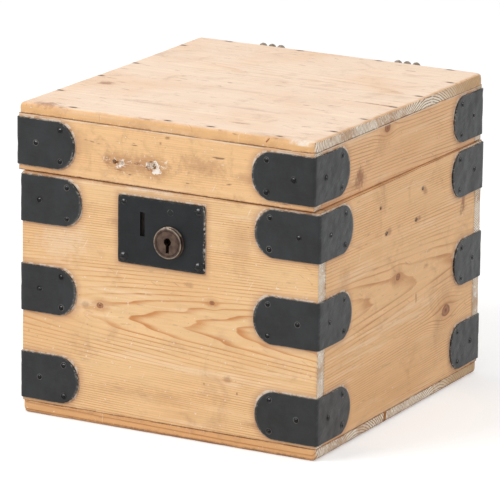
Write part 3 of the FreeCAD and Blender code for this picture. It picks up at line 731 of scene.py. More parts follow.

# Seams: height, reach, colour and strength of what has gathered along each joint, and of the painted shadow
# along the gap under the lid
# dark_gap is a painted shadow along the gap under the lid, and a dark line in the joint under the top board
dark_gap = tone(46, 25, 13)
brown_gap = tone(150, 92, 50)
foot_seam = ((wall_low_z, 0.8 * mm, tone(104, 66, 40), 0.95),)
top_seam = (
    (rail_high_z - 1.3 * mm, 0.9 * mm, tone(236, 222, 204), 0.55),
    (rail_high_z, 0.8 * mm, tone(96, 62, 40), 0.9),
)

skin = 0.02 * mm
both_sides = (("right", 1, right_x), ("left", -1, left_x))


def lid_gap(height, wide):
    """A painted shadow line along the gap under the lid, in a brown band, widest on the lid's own front and
    back.
    """
    if wide and height > wall_high_z:
        return ((height, 2.2 * mm, brown_gap, 0.5), (height, 0.95 * mm, dark_gap, 1.0))
    if wide:
        return ((height, 2.2 * mm, brown_gap, 0.4), (height, 0.4 * mm, dark_gap, 0.8))
    return ((height, 1.0 * mm, tone(188, 126, 74), 0.5), (height, 0.4 * mm, tone(112, 64, 32), 1.0))


# Marks of the lost hasp and of the lost handles
hasp_left, hasp_right = (Vector((x, front_y, lid_low_z + 22.6 * mm)) for x in lengths(-58.0, -12.5))
handle_places = [
    (mount["pos_m"][1] + offset, mount["pos_m"][2])
    for mount in frame["record"]["mounts"] if mount["name"].startswith("handle_right")
    for offset in (-mount["dims"]["spacing_x_mm"] * mm / 2, mount["dims"]["spacing_x_mm"] * mm / 2)
]


def wood_piece(node, bm, wood):
    body, slot = ("lid", "lid_pine") if node.startswith("lid") else ("box", "body_pine")
    piece(node + "_wood", bm, body, [node], wood)


def make_plank(node, low, high, wear, seed, wood, cutters=()):
    """A wall board or a lid rail, worn along its edges, with its holes cut out."""
    if high.x - low.x > high.y - low.y:
        axes, edge_round, along_cuts = along_x_axes, 0.7 * mm, 150
    else:
        axes, edge_round, along_cuts = along_y_axes, 0.5 * mm, 140
    across_cuts = 12 if node.startswith("lid") else 26
    depth_cuts = 2
    bm = board_mesh(low, high, axes, edge_round, (along_cuts, across_cuts, depth_cuts))
    wear_edges(bm, low, high, wear, seed)
    wood_piece(node, carve(bm, cutters) if cutters else bm, wood)


def make_walls():
    wood = pine(
        "front pine", along_x_axes, (124 * mm, 62 * mm + front_y), 0.036, swirl=10 * mm,
        knots=((-79.5, 128, 3.2), (51.6, 149.3, 2.4)),
        irons=ironwork_on("front"), seams=lid_gap(wall_high_z, True) + foot_seam,
        bleaches=((-20, 257, 50, 4, 0.5), (-120, 190, 40, 30, 0.2)),
        stains=(
            (83, 212, 20, 36, 0.20), (-60, 219, 14, 8, 0.3), (69.8, 70.9, 9, 5, 0.5), (25, 164, 9, 4, 0.4),
            (99, 28, 14, 5, 0.35), (-97, 126, 8, 5, 0.45), (-30, 40, 90, 12, 0.14),
            (43.2, 62.6, 1.8, 2.6, 0.9), (81.5, 57.9, 1.8, 2.2, 0.9),
        ),
    )
    low = Vector((left_x, front_y, wall_low_z + skin))
    high = Vector((right_x, front_y + board_thickness, wall_high_z))
    case_low, case_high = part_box("lock_case")
    room = 0.4 * mm
    pocket = box_mesh(
        Vector((case_low.x - room, front_y - room, case_low.z - room)),
        Vector((case_high.x + room, case_high.y + room, case_high.z + room)),
    )
    make_plank("front_board", low, high, 0.5 * mm, 1, wood, [pocket])

    wood = pine(
        "back pine", along_x_axes, (70 * mm, back_y - 90 * mm), -0.02,
        knots=((60, 150, 5), (-110, 70, 3.2)),
        irons=ironwork_on("back"), grey=0.25, seams=lid_gap(wall_high_z, True) + foot_seam,
    )
    low = Vector((left_x, back_y - board_thickness, wall_low_z + skin))
    high = Vector((right_x, back_y, wall_high_z))
    make_plank("back_board", low, high, 0.5 * mm, 2, wood)

    side_pith = {"right": (142 * mm, 98 * mm), "left": (60 * mm, -95 * mm)}
    side_knots = {"right": ((107, 89, 8.0), (-8.6, 152, 4.6)), "left": ((-60, 180, 5.0), (40, 60, 8.0))}
    side_stains = {
        "right": (
            (104, 114, 26, 30, 0.14), (88, 68, 18, 34, 0.14), (143, 198, 9, 16, 0.8), (38, 205, 7, 5, 0.6),
            (-128, 177, 14, 20, 0.2), (57, 149, 7, 5, 0.6), (35, 120, 3, 7, 0.6), (50, 232, 7, 6, 0.55),
            (-30, 205, 6, 5, 0.5), (140, 150, 30, 60, 0.12),
        ),
        "left": ((70, 120, 30, 30, 0.35), (-120, 60, 26, 16, 0.3)),
    }
    joint_line = 0.4 * mm
    hole_radius = 1.6 * mm
    hole_depth = 12 * mm
    for side, sign, face_x in both_sides:
        wood = pine(
            side + " side pine", along_y_axes, side_pith[side], 0.022 * sign,
            light=tone(242, 194, 143), dark=tone(194, 131, 82), contrast=0.72, knots=side_knots[side],
            spots=handle_places, irons=ironwork_on(side), stains=side_stains[side],
            seams=lid_gap(wall_high_z, False) + foot_seam,
        )
        node_low, node_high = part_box(side + "_board")
        low = Vector((node_low.x, node_low.y + joint_line, node_low.z + skin))
        high = Vector((node_high.x, node_high.y - joint_line, node_high.z))
        holes = [
            rod(
                hole_radius, Vector((face_x + sign * mm, y, z)),
                Vector((face_x - sign * hole_depth, y, z)), 14,
            )
            for y, z in handle_places
        ]
        make_plank(side + "_board", low, high, 0.25 * mm, 3 + sign, wood, holes)


def make_bottom_boards():
    """Two boards with a fine joint between them and a worn notch at each end of the joint."""
    joint_room = 0.3 * mm
    for node, side, seed in (("bottom_front_board", -1, 7), ("bottom_rear_board", 1, 8)):
        low, high = (corner.copy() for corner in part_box(node))
        wood = pine(
            node.replace("_", " ") + " pine", flat_axes, ((low.y + high.y) / 2 + 12 * mm, -38 * mm), 0.012,
            light=tone(226, 172, 118), dark=tone(164, 102, 58), contrast=0.7, spacing=3.0 * mm,
            dirtiness=0.6,
            seams=((high.z, 1.0 * mm, tone(110, 70, 44), 0.9), (0, 4.5 * mm, tone(126, 84, 54), 0.7)),
        )
        at_joint = high if side < 0 else low
        at_joint.y += side * joint_room
        bm = fine_box(low, high, (130, 60, 6))
        round_corners(bm, low, high, (0, 1), 5 * mm, ((-1, side), (1, side)))
        round_corners(bm, low, high, (0, 2), 6 * mm, ((-1, -1), (1, -1)))
        round_corners(bm, low, high, (1, 2), 3 * mm, ((side, -1),))
        wear_edges(bm, low, high, 0.9 * mm, seed)
        notches = [
            torn_hole(Vector((x, at_joint.y, high.z / 2)), 9 * mm, 14 * mm, seed, 2.6 * mm)
            for x in (low.x, high.x)
        ]
        wood_piece(node, carve(bm, notches), wood)


def make_lid_rails():
    top = rail_high_z - skin
    wood = pine(
        "lid front pine", along_x_axes, (160 * mm, 95 * mm + front_y), 0.02,
        light=tone(241, 195, 142), dark=tone(206, 146, 92), spacing=1.9 * mm, swirl=3 * mm,
        irons=ironwork_on("front"), on_lid=True, contrast=0.48, dirtiness=0.66, dashes=0.9,
        seams=lid_gap(lid_low_z, True) + top_seam,
        tears=(
            (hasp_left.x + 6.5 * mm, hasp_left.z - 0.5 * mm), (hasp_right.x - 5 * mm, hasp_right.z + mm),
            (hasp_right.x + 4.5 * mm, hasp_right.z - 3 * mm), (hasp_right.x + 3 * mm, hasp_right.z + 2 * mm),
        ),
        stains=(
            (-35, 281, 50, 18, 0.38), (4.4, 314, 4, 2.4, 0.8), (45, 290, 40, 16, 0.42),
            (-100, 295, 30, 20, 0.22), (-4, 307, 2.6, 3.0, 0.85), (-66, 284, 7, 12, 0.5),
            (100, 284, 30, 8, 0.3),
        ),
    )
    low = Vector((left_x, front_y, lid_low_z))
    high = Vector((right_x, front_y + board_thickness, top))
    hole_radius = 2.6 * mm
    hole_depth = 7 * mm
    holes = [
        rod(hole_radius, place + Vector((0, -mm, 0)), place + Vector((0, hole_depth, 0)), 18)
        for place in (hasp_left, hasp_right)
    ]
    holes.append(torn_hole(hasp_left + Vector(lengths(6, 0, -0.6)), 6.5 * mm, 2.2 * mm, 3))
    holes.append(torn_hole(hasp_right + Vector(lengths(-1, 0, 0.5)), 6.8 * mm, 5.4 * mm, 9))
    make_plank("lid_front_rail", low, high, 0.4 * mm, 11, wood, holes)

    wood = pine(
        "lid back pine", along_x_axes, (255 * mm, back_y - 80 * mm), -0.015, irons=ironwork_on("back"),
        on_lid=True, grey=0.25, seams=lid_gap(lid_low_z, True) + top_seam,
    )
    low = Vector((left_x, back_y - board_thickness, lid_low_z))
    make_plank("lid_back_rail", low, Vector((right_x, back_y, top)), 0.4 * mm, 12, wood, hinge_rooms())

    for side, sign, outer_x in both_sides:
        wood = pine(
            "lid " + side + " pine", along_y_axes, (205 * mm, sign * 100 * mm), 0.03 * sign,
            light=tone(238, 190, 142), dark=tone(190, 130, 84), irons=ironwork_on(side), on_lid=True,
            knots=((-30, 314, 5.0),), spacing=2.6 * mm, swirl=16 * mm,
            seams=lid_gap(lid_low_z, False) + top_seam,
            stains=((-88, 274, 16, 15, 0.85), (-100, 268, 24, 8, 0.4), (-30, 313, 10, 6, 0.5)),
        )
        inner_x = outer_x - sign * board_thickness
        low = Vector((min(outer_x, inner_x), front_y + board_thickness + skin, lid_low_z))
        high = Vector((max(outer_x, inner_x), back_y - board_thickness - skin, top))
        make_plank("lid_" + side + "_rail", low, high, 0.25 * mm, 14 + sign, wood)


def hinge_rooms():
    """Room in the lid's back edge for the hinge barrels, in the lid's own true frame."""
    room_radius = 4.05 * mm
    end_room = 0.6 * mm
    rooms = []
    for side in ("left", "right"):
        low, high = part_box("hinge_pin_" + side)
        centre = (low + high) / 2
        reach = (high.x - low.x) / 2 + end_room
        ends = [lid_back_turn @ Vector((centre.x + run, centre.y, centre.z)) for run in (-reach, reach)]
        rooms.append(rod(room_radius, *ends, 24))
    return rooms


def make_lid_top():
    """The board on top, with its worn round edges and a split in its right end."""
    back_crown = 1.6 * mm
    back_flare = 1.4 * mm
    corner_wear = 9 * mm
    low = Vector((left_x - 0.4 * mm, front_y + 0.5 * mm, rail_high_z))
    high = Vector((right_x + 0.5 * mm, back_y - 1 * mm, lid_high_z))
    brad_ends = [(end.x, end.y) for end, out in fastenings("lid_top_brads") if out.z > 0.5]
    # Painted light: the top's colour is paler than the plain wood, for the strong light and sheen that fall
    # on it from above; edge_wood is the plain wood of its edges
    wood = pine(
        "lid top pine", flat_axes, (60 * mm, lid_high_z - 58 * mm), 0.03,
        light=tone(246, 219, 194), dark=tone(226, 186, 150), edge_wood=tone(236, 186, 130), on_lid=True,
        contrast=0.50, spacing=2.9 * mm, bleaches=((156, -184, 16, 7, 0.85),), spots=brad_ends,
        spot_stretch=2.4, seams=((rail_high_z + 0.2 * mm, 0.7 * mm, dark_gap, 0.7),), dashes=0.55,
        stains=(
            (-141, -65, 14, 10, 0.7), (-142, -178, 22, 10, 0.75), (-60, -120, 50, 6, 0.26),
            (40, -90, 60, 5, 0.24), (140, -2, 34, 3, 0.7), (0, 60, 90, 5, 0.16), (8, 184, 40, 3, 0.9),
            (66, -150, 18, 3, 0.6), (70, 30, 50, 4, 0.2), (-20, -20, 70, 4, 0.18),
        ),
    )
    bm = fine_box(low, high, (130, 130, 9))
    for axes, radius, side in (
        ((0, 1), 5, (-1, -1)), ((0, 1), 8, (1, -1)), ((0, 1), 7, (1, 1)), ((0, 1), 18, (-1, 1)),
        ((0, 2), 5.5, (-1, 1)), ((0, 2), 3, (1, 1)),
    ):
        round_corners(bm, low, high, axes, radius * mm, (side,))
    round_corners(bm, low, high, (1, 2), 4.6 * mm, ((-1, 1), (1, 1)))
    wear_edges(bm, low, high, 1.1 * mm, 21, 8 * mm)
    for vert in bm.verts:
        back = max(0.0, vert.co.y / high.y)
        lift = (vert.co.z - low.z) / (high.z - low.z)
        vert.co.z += back_crown * lift * back * back * (3 - 2 * back)
        vert.co.x += back_flare * max(0.0, vert.co.x / high.x) * back
        near_side = max(0.0, 1 - abs(high.x + back_flare - vert.co.x) / (8 * mm))
        near_back = max(0.0, 1 - abs(high.y - vert.co.y) / (16 * mm))
        vert.co.z -= corner_wear * lift * (near_side * near_back) ** 3
    split_length, split_half_width, split_height = lengths(28, 0.7, 14)
    split = bmesh.new()
    bmesh.ops.create_cone(split, cap_ends=True, segments=3, radius1=1, radius2=1, depth=split_height)
    bmesh.ops.rotate(split, cent=(0, 0, 0), matrix=Matrix.Rotation(math.pi, 3, "Z"), verts=split.verts)
    bmesh.ops.scale(split, vec=(split_length, split_half_width, 1), verts=split.verts)
    bmesh.ops.translate(split, vec=(high.x - 13 * mm, -4 * mm, lid_high_z - 4 * mm), verts=split.verts)
    chip_lean = Matrix.Rotation(math.radians(38), 3, "Y")
    chip = torn_hole(Vector((0, 0, 0)), 1.1 * mm, 3.4 * mm, 4, 1.6 * mm)
    bmesh.ops.rotate(chip, cent=(0, 0, 0), matrix=chip_lean, verts=chip.verts)
    bmesh.ops.translate(chip, vec=(119 * mm, low.y + 0.3 * mm, lid_high_z - 4 * mm), verts=chip.verts)
    wood_piece("lid_top_board", carve(bm, [split, chip]), wood)


# Metal finishes


def iron(name, dark, light, roughness, hammered, rust=0.0, chalk=0.0, groove=False, gloss=0.4,
         worn_and_highlight=0.45, side_sheen=0.0):
    """Old blackened iron: cloudy black, hammered and brushed, with pale chips on its rims; where asked, a
    painted sheen on its side faces, painted shade in recesses and painted glints.
    """
    finish = material(name)
    place = finish.place()
    across, depth, height = finish.parts(place)
    cloud = finish.noise(place, 45, 4, 0.6)
    slant = finish.combine(across + depth, (height - depth * 0.9) * 6, 0)
    brushed = finish.noise(slant, 75, 3, 0.6, 0.3)
    pits = finish.noise(place, 900, 3, 0.6)
    blows = finish.node(
        "ShaderNodeTexVoronoi", {"feature": "SMOOTH_F1"}, {"Vector": place, "Scale": 85, "Smoothness": 0.9}
    )
    waves = finish.noise(place, 60, 2, 0.5)
    finish.colour = finish.mix(finish.smooth(cloud, 0.3, 0.7), dark, light)
    finish.paint(finish.smooth(brushed, 0.52, 0.72) * 0.5, light)
    # Painted sheen: lighter brushed streaks, only on the faces that look to the sides
    if side_sheen:
        facing = finish.parts(finish.coordinates("Normal"))[0]
        sheen_streaks = finish.smooth(finish.noise(slant, 130, 3, 0.65), 0.50, 0.64)
        sheen_streaks = sheen_streaks * finish.smooth(cloud, 0.36, 0.58)
        sheen_streaks = sheen_streaks * finish.smooth(finish.maths("ABSOLUTE", facing), 0.4, 0.9)
        finish.paint(sheen_streaks * side_sheen, tone(86, 88, 90))
    if rust:
        finish.paint(finish.smooth(finish.noise(place, 75, 4, 0.7), 0.48, 0.7) * rust, tone(104, 62, 40))
    # Pale wear on the rims; on the screw heads' rims this is a painted highlight
    rim = finish.mark("rim")
    finish.paint(rim * finish.smooth(cloud, 0.36, 0.60) * worn_and_highlight, tone(120, 118, 114))
    if chalk:
        flecks = rim * finish.smooth(finish.noise(place, 330, 3, 0.6), 0.54, 0.60) * chalk
        finish.paint(flecks, tone(226, 220, 210))
    # Painted shade in the recesses marked for it, and painted glints on the heads
    if groove:
        finish.paint(finish.mark("groove"), tone(4, 4, 5))
        finish.paint(finish.mark("glint") * 0.85, tone(186, 187, 190))
    relief = blows * (2.4 * hammered) + waves * (1.6 * hammered) + brushed * 0.4 + pits * 0.16
    rough = roughness + (pits - 0.5) * 0.22 + (brushed - 0.5) * 0.2
    return finish.close(rough, relief, 0.30 * mm, Specular_IOR_Level=gloss)


black_iron = iron(
    "blackened strap iron", tone(9, 10, 12), tone(32, 34, 36), 0.40, 1.0, chalk=0.3, gloss=0.45, side_sheen=0.5
)
nail_iron = iron("nail heads", tone(3, 3, 4), tone(18, 18, 19), 0.3, 0.3, groove=True, gloss=0.2, worn_and_highlight=1.0)
rusty_iron = iron("rusty brad heads", tone(44, 38, 36), tone(74, 62, 54), 0.6, 0.4, rust=0.5)
hinge_iron = iron("hinge iron", tone(104, 92, 80), tone(180, 172, 160), 0.36, 0.7, rust=0.3, chalk=1.0)
plate_iron = iron(
    "lock plate iron", tone(18, 20, 22), tone(30, 32, 34), 0.52, 0.25, chalk=0.6, groove=True, gloss=0.3
)
screw_iron = iron("screw heads", tone(6, 6, 7), tone(28, 28, 29), 0.25, 0.3, groove=True, gloss=0.35)
works_iron = iron("lock works iron", tone(46, 42, 38), tone(74, 68, 62), 0.5, 0.3, rust=0.4)


def dull_bronze():
    """The keyhole boss: dark brown with a worn bright rim, a painted reflection on top of its barrel and a
    painted shade in the line inside the rim.
    """
    finish = material("keyhole boss bronze")
    cloud = finish.noise(finish.place(), 160, 3, 0.6)
    fine = finish.noise(finish.place(), 1300, 3, 0.6)
    finish.colour = finish.mix(finish.smooth(cloud, 0.3, 0.7), tone(68, 53, 46), tone(96, 79, 68))
    # Worn bronze and painted highlight on the rim, and a painted reflection on the top of the barrel
    bright = finish.mark("rim") * finish.smooth(cloud, 0.20, 0.55)
    finish.paint(bright * 0.5, tone(176, 162, 146))
    # Painted shade in the line inside the rim
    finish.paint(finish.mark("groove") * 0.8, tone(34, 26, 22))
    return finish.close(0.36 + (fine - 0.5) * 0.2 + (1 - bright) * 0.08, fine * 0.5 + cloud, 0.12 * mm, 0.75)


def speckled(name, scale, dark, light, roughness, depth):
    """A plain dull finish with a fine crumb."""
    finish = material(name)
    crumb = finish.noise(finish.place(), scale, 3, 0.6)
    finish.colour = finish.mix(crumb, dark, light)
    return finish.close(roughness, crumb, depth)


def blued_steel():
    finish = material("spring steel")
    drawn = finish.noise(finish.vectors("MULTIPLY", finish.place(), (0.2, 1, 1)), 900, 2, 0.6)
    finish.colour = finish.mix(drawn, tone(84, 86, 96), tone(126, 128, 134))
    return finish.close(0.3 + drawn * 0.2, drawn, 0.05 * mm, 0.9)


# Straps

strap_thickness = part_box("front_board")[0].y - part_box("upper_strap_front_left")[0].y
outer_bend = 3.5 * mm
strap_rim = 0.55 * mm


def strap_mesh(face_leg, side_leg, height, seed):
    """A bent strap for the front left corner: outside corner at the origin, mid height at 0."""
    bend_length = math.pi / 2 * outer_bend
    edge_wander = 0.45 * mm
    coarse_dent, fine_dent = lengths(0.30, 0.16)
    dented_reach = 9 * mm
    leg_columns = 22
    bend_columns = 6
    columns = 2 * leg_columns + bend_columns
    flat = height / 2 - strap_end_round
    shift = Vector((seed * 2.3, seed * 5.1, 0))
    bm = bmesh.new()
    bmesh.ops.create_grid(bm, x_segments=columns, y_segments=20, size=1)
    rim = bm.verts.layers.float.new("rim")

    # The flat blank: across it the run from the middle of the bend, up it the level
    for vert in bm.verts:
        column = round((vert.co.x + 1) / 2 * columns)
        row = vert.co.y
        turn = abs(row) * math.pi / 2
        level = math.copysign(flat * abs(row) + strap_end_round * math.sin(turn), row) if row else 0
        drawn_in = strap_end_round * (1 - math.cos(turn))
        if column <= leg_columns:
            share = 1 - column / leg_columns
            run = -(bend_length / 2 + share * (face_leg - outer_bend - drawn_in))
        elif column >= leg_columns + bend_columns:
            share = (column - leg_columns - bend_columns) / leg_columns
            run = bend_length / 2 + share * (side_leg - outer_bend - drawn_in)
        else:
            run = bend_length * ((column - leg_columns) / bend_columns - 0.5)
        at_end = column in (0, columns)
        at_top = abs(row) > 0.999
        vert[rim] = float(at_end or at_top)
        vert.co = Vector((run, level, 0))
        wander = edge_wander * noise.noise(vert.co * 45 + shift)
        vert.co.x += wander * at_end
        vert.co.y += wander * at_top

    # The blank bent round the corner, with dents that are deepest near the bend
    for vert in bm.verts:
        run, level = vert.co.x, vert.co.y
        dent = coarse_dent * noise.noise(Vector((run, level, 0)) * 60 + shift)
        dent += fine_dent * noise.noise(Vector((run, level, 0)) * 160 + shift)
        dent *= 1 + 1.6 * max(0.0, 1 - abs(run) / dented_reach)
        lift = min(dent, 0.0)
        if run < -bend_length / 2:
            vert.co = Vector((outer_bend - run - bend_length / 2, -lift, level))
        elif run > bend_length / 2:
            vert.co = Vector((-lift, outer_bend + run - bend_length / 2, level))
        else:
            turn = (run / bend_length + 0.5) * math.pi / 2
            reach = outer_bend + lift
            x, y = outer_bend - reach * math.sin(turn), outer_bend - reach * math.cos(turn)
            vert.co = Vector((x, y, level))
    bmesh.ops.recalc_face_normals(bm, faces=bm.faces)
    outward = sum((face.normal.y for face in bm.faces if face.calc_center_median().x > 10 * mm))
    if outward > 0:
        bmesh.ops.reverse_faces(bm, faces=bm.faces)
    bmesh.ops.solidify(bm, geom=bm.faces[:], thickness=strap_thickness)
    bmesh.ops.recalc_face_normals(bm, faces=bm.faces)
    rim_edges = [
        edge for edge in bm.edges
        if edge.calc_face_angle(0) > 0.9 and all(vert[rim] > 0.5 for vert in edge.verts)
    ]
    bevel(bm, rim_edges, strap_rim, 2)
    return bm


def make_straps():
    seed = 0
    for row in strap_rows:
        for corner in strap_corners:
            seed += 1
            node = row + "_strap_" + corner
            low, high = solid_boxes(node)[0]
            bm = strap_mesh(high.x - low.x, high.y - low.y, high.z - low.z, seed)
            flip_x, place_x = (-1, high.x) if corner.endswith("right") else (1, low.x)
            flip_y, place_y = (-1, high.y) if corner.startswith("back") else (1, low.y)
            turn = Matrix.Diagonal((flip_x, flip_y, 1, 1))
            moved(bm, Matrix.Translation((place_x, place_y, (low.z + high.z) / 2)) @ turn)
            if flip_x != flip_y:
                bmesh.ops.reverse_faces(bm, faces=bm.faces)
            piece(node + "_iron", bm, "lid" if row == "lid" else "box", [node], black_iron)


# Nails and brads

nail_radius = 1.8 * mm


def nail_template():
    """A low domed head in the dark ring and bright burr that it bruised into the iron; the dark ring is a
    painted shade.
    """
    profile = (
        (0, 0.88), (0.5, 0.76), (0.85, 0.42), (1.0, 0.0), (1.52, 0.0), (1.66, 0.36), (1.84, 0.34),
        (2.02, 0.02), (2.02, -0.20),
    )
    bm = lathe([(radius * nail_radius, height * mm) for radius, height in profile], 16)
    # A layer for the painted glint, and the dark ring about the head marked for painted shade
    bm.verts.layers.float.new("glint")
    store(bm, "groove", lambda vert: 0.95 < vert.co.xy.length / nail_radius < 1.6)
    store(bm, "rim", lambda vert: 0.8 * (1.6 < vert.co.xy.length / nail_radius < 1.9))
    return as_template(bm)


def mark_head_glint(bm, start, centre, amount):
    """Marks a painted glint on the upper side of a nail head."""
    glint = bm.verts.layers.float["glint"]
    bm.verts.ensure_lookup_table()
    for vert in bm.verts[start:]:
        offset = vert.co - centre
        near = offset.length < 1.1 * nail_radius and offset.z > 0.55 * nail_radius
        vert[glint] = amount if near else 0.0


def make_nails():
    template = nail_template()
    head_height = 1.0 * mm
    for node, body in (
        ("body_strap_nails", "box"), ("lid_strap_nails", "lid"), ("body_hinge_nails", "box"),
        ("lid_hinge_nails", "lid"),
    ):
        bm = bmesh.new()
        for end, out in fastenings(node):
            lean = Matrix.Rotation(math.radians(dice.uniform(-4, 4)), 4, "X")
            twist = Matrix.Rotation(dice.uniform(0, math.tau), 4, "Z")
            size = dice.uniform(0.92, 1.06)
            stretch = Matrix.Diagonal((size * dice.uniform(0.93, 1.07), size, dice.uniform(0.7, 0.95), 1))
            place = Matrix.Translation(end - out * head_height)
            start = len(bm.verts)
            add_copy(bm, template, place @ aim(out) @ twist @ stretch @ lean)
            # A painted glint of random strength on the upper side of each head
            mark_head_glint(bm, start, end, dice.uniform(0.2, 1.0))
        piece(node + "_heads", bm, body, [node], nail_iron)


def make_brads():
    """Brad ends: rusty heads on the flat boards, and puttied holes where the straps were to hide them."""
    profile = ((0, 0.10), (0.6, 0.09), (0.92, 0.02), (1.0, -0.25), (1.0, -1.0))
    head_radius = 1.7 * mm
    bm = lathe([(radius * head_radius, height * mm) for radius, height in profile], 12)
    bm.verts.layers.float.new("rim")
    template = as_template(bm)
    putty = speckled(
        "putty over sunk brads", 700, tone(206, 158, 108), tone(232, 186, 134), 0.75, 0.08 * mm
    )
    for node, body, finish, sunk in (
        ("body_corner_brads", "box", putty, 0), ("lid_corner_brads", "lid", putty, 0),
        ("lid_top_brads", "lid", rusty_iron, 0), ("bottom_brads", "box", rusty_iron, -0.12 * mm),
    ):
        bm = bmesh.new()
        for end, out in fastenings(node):
            stretch = Matrix.Diagonal((dice.uniform(0.8, 1.1), dice.uniform(0.8, 1.1), 1, 1))
            add_copy(bm, template, Matrix.Translation(end + out * sunk) @ aim(out) @ stretch)
        piece(node + "_heads", bm, body, [node], finish)


# Lock

plate_low, plate_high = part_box("lock_plate")
boss_low, boss_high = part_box("keyhole_boss")
boss_centre = (boss_low + boss_high) / 2
to_front = Matrix.Rotation(math.pi / 2, 4, "X")


def keyhole_cutters(front, back):
    """The keyhole: a round hole over a narrow slot."""
    round_radius = 4.2 * mm
    slot_half = 1.9 * mm
    slot_length = 11.6 * mm
    x, key_z = boss_centre.x, boss_centre.z + 1.5 * mm
    return [
        rod(round_radius, Vector((x, front, key_z)), Vector((x, back, key_z)), 28),
        box_mesh(Vector((x - slot_half, front, key_z - slot_length)), Vector((x + slot_half, back, key_z))),
    ]


def make_lock_plate():
    """The plate with its uneven edges, its right edge worn bright, the staple slot and the keyhole."""
    bm = box_mesh(plate_low, plate_high)
    divide(bm, plate_high - plate_low, ((0, 40), (2, 28)))
    round_corners(bm, plate_low, plate_high, (0, 2), 2.6 * mm, ((-1, -1), (1, -1), (1, 1), (-1, 1)))
    rim = store(bm, "rim", lambda vert: 0)
    at_edge = 0.1 * mm
    for vert in bm.verts:
        left, right = vert.co.x - plate_low.x, plate_high.x - vert.co.x
        below, above = vert.co.z - plate_low.z, plate_high.z - vert.co.z
        if min(left, right, below, above) < at_edge:
            vert[rim] = 1.0 if right < at_edge else 0.12
            inward = 0.35 * mm * max(0, noise.noise(vert.co * 140))
            if min(left, right) < at_edge:
                vert.co.x += math.copysign(inward, boss_centre.x - vert.co.x)
            if min(below, above) < at_edge:
                vert.co.z += math.copysign(inward, boss_centre.z - vert.co.z)
    bevel(bm, [edge for edge in bm.edges if edge.calc_face_angle(0) > 1], 0.3 * mm, 2)
    front, back = plate_low.y - mm, plate_high.y + mm
    openings = {row["name"]: row["box_m"] for row in frame["record"]["physics"]["openings"]}
    first, last = openings["staple_slot"]
    slot = Vector(((first[0] + last[0]) / 2, 0, (first[2] + last[2]) / 2))
    slot_half = Vector(lengths(2.75, 0, 12.5))
    slot_low, slot_high = slot - slot_half, slot + slot_half
    cutters = keyhole_cutters(front, back)
    cutters.append(box_mesh(
        Vector((slot_low.x, front, slot_low.z)), Vector((slot_high.x, back, slot_high.z))
    ))
    piece("lock_plate_iron", carve(bm, cutters), "box", ["lock_plate"], plate_iron)


def make_boss():
    """The turned keyhole boss with its foot, barrel, worn rim and the line inside the rim; the barrel's top
    and the rim carry a painted highlight, the line a painted shade.
    """
    stand = boss_high.y - boss_low.y
    outer = boss_centre.x - boss_low.x
    profile = (
        (0, -0.35), (0.74, -0.35), (0.765, -0.46), (0.79, -0.46), (0.815, -0.32), (0.88, -0.12), (0.91, 0),
        (0.94, -0.05), (0.965, -0.35), (0.965, -3.6), (1.0, -3.9), (1.0, -5.0),
    )
    bm = lathe([(radius * outer, stand + height * mm) for radius, height in profile], 72)

    # The top of the barrel marked for a painted reflection, and the ring on the rim's face for wear with a
    # painted highlight
    def worn_and_highlight(vert):
        share = vert.co.xy.length / outer
        on_top = vert.co.y / outer > 0.55 and share > 0.93
        return on_top or (0.9 < share < 0.95 and vert.co.z > stand - 0.3 * mm)

    store(bm, "rim", worn_and_highlight)
    # The line inside the rim marked for painted shade
    store(bm, "groove", lambda vert: 0.8 * (0.75 < vert.co.xy.length / outer < 0.80))
    moved(bm, Matrix.Translation((boss_centre.x, boss_high.y, boss_centre.z)) @ to_front)
    bm = carve(bm, keyhole_cutters(boss_low.y - mm, boss_high.y + mm))
    piece("keyhole_boss_bronze", bm, "box", ["keyhole_boss"], dull_bronze(), 30)


def make_screws():
    """Domed slotted screws with a painted highlight round their rims and a painted glint above the slot; the
    upper left one is smaller.
    """
    dome_height = 2.4 * mm
    full_radius = 5 * mm
    profile = ((0, 1.0), (0.35, 0.93), (0.65, 0.70), (0.86, 0.36), (0.97, 0.05), (1.0, -0.1), (1.0, -0.3))
    slot_half = 0.6 * mm
    slot_depth = 1.1 * mm
    joined = bmesh.new()
    for (low, high), degrees in zip(solid_boxes("lock_screws"), (3, -6, 4, -2)):
        radius = (high.x - low.x) / 2
        height = dome_height * radius / full_radius
        bm = lathe([(share * radius, level * height) for share, level in profile], 32)
        # Painted highlight: a bright ring round the rim of each head
        store(bm, "rim", lambda vert: 0.7 * (0.95 < vert.co.xy.length / radius < 0.99))
        # Painted glint on the dome above the slot
        store(bm, "glint", lambda vert: 0.55 * (
            0.4 < vert.co.y / radius < 0.75 and abs(vert.co.x) < 0.3 * radius
        ))
        bm.verts.layers.float.new("groove")
        bm = carve(bm, [box_mesh(
            Vector((-radius * 1.2, -slot_half, height - slot_depth)),
            Vector((radius * 1.2, slot_half, 2 * height)),
        )])
        place = Matrix.Translation(((low.x + high.x) / 2, plate_low.y, (low.z + high.z) / 2))
        moved(bm, place @ to_front @ Matrix.Rotation(math.radians(degrees), 4, "Z"))
        add_copy(joined, as_template(bm), Matrix.Identity(4))
    piece("lock_screw_heads", joined, "box", ["lock_screws"], screw_iron, 35)


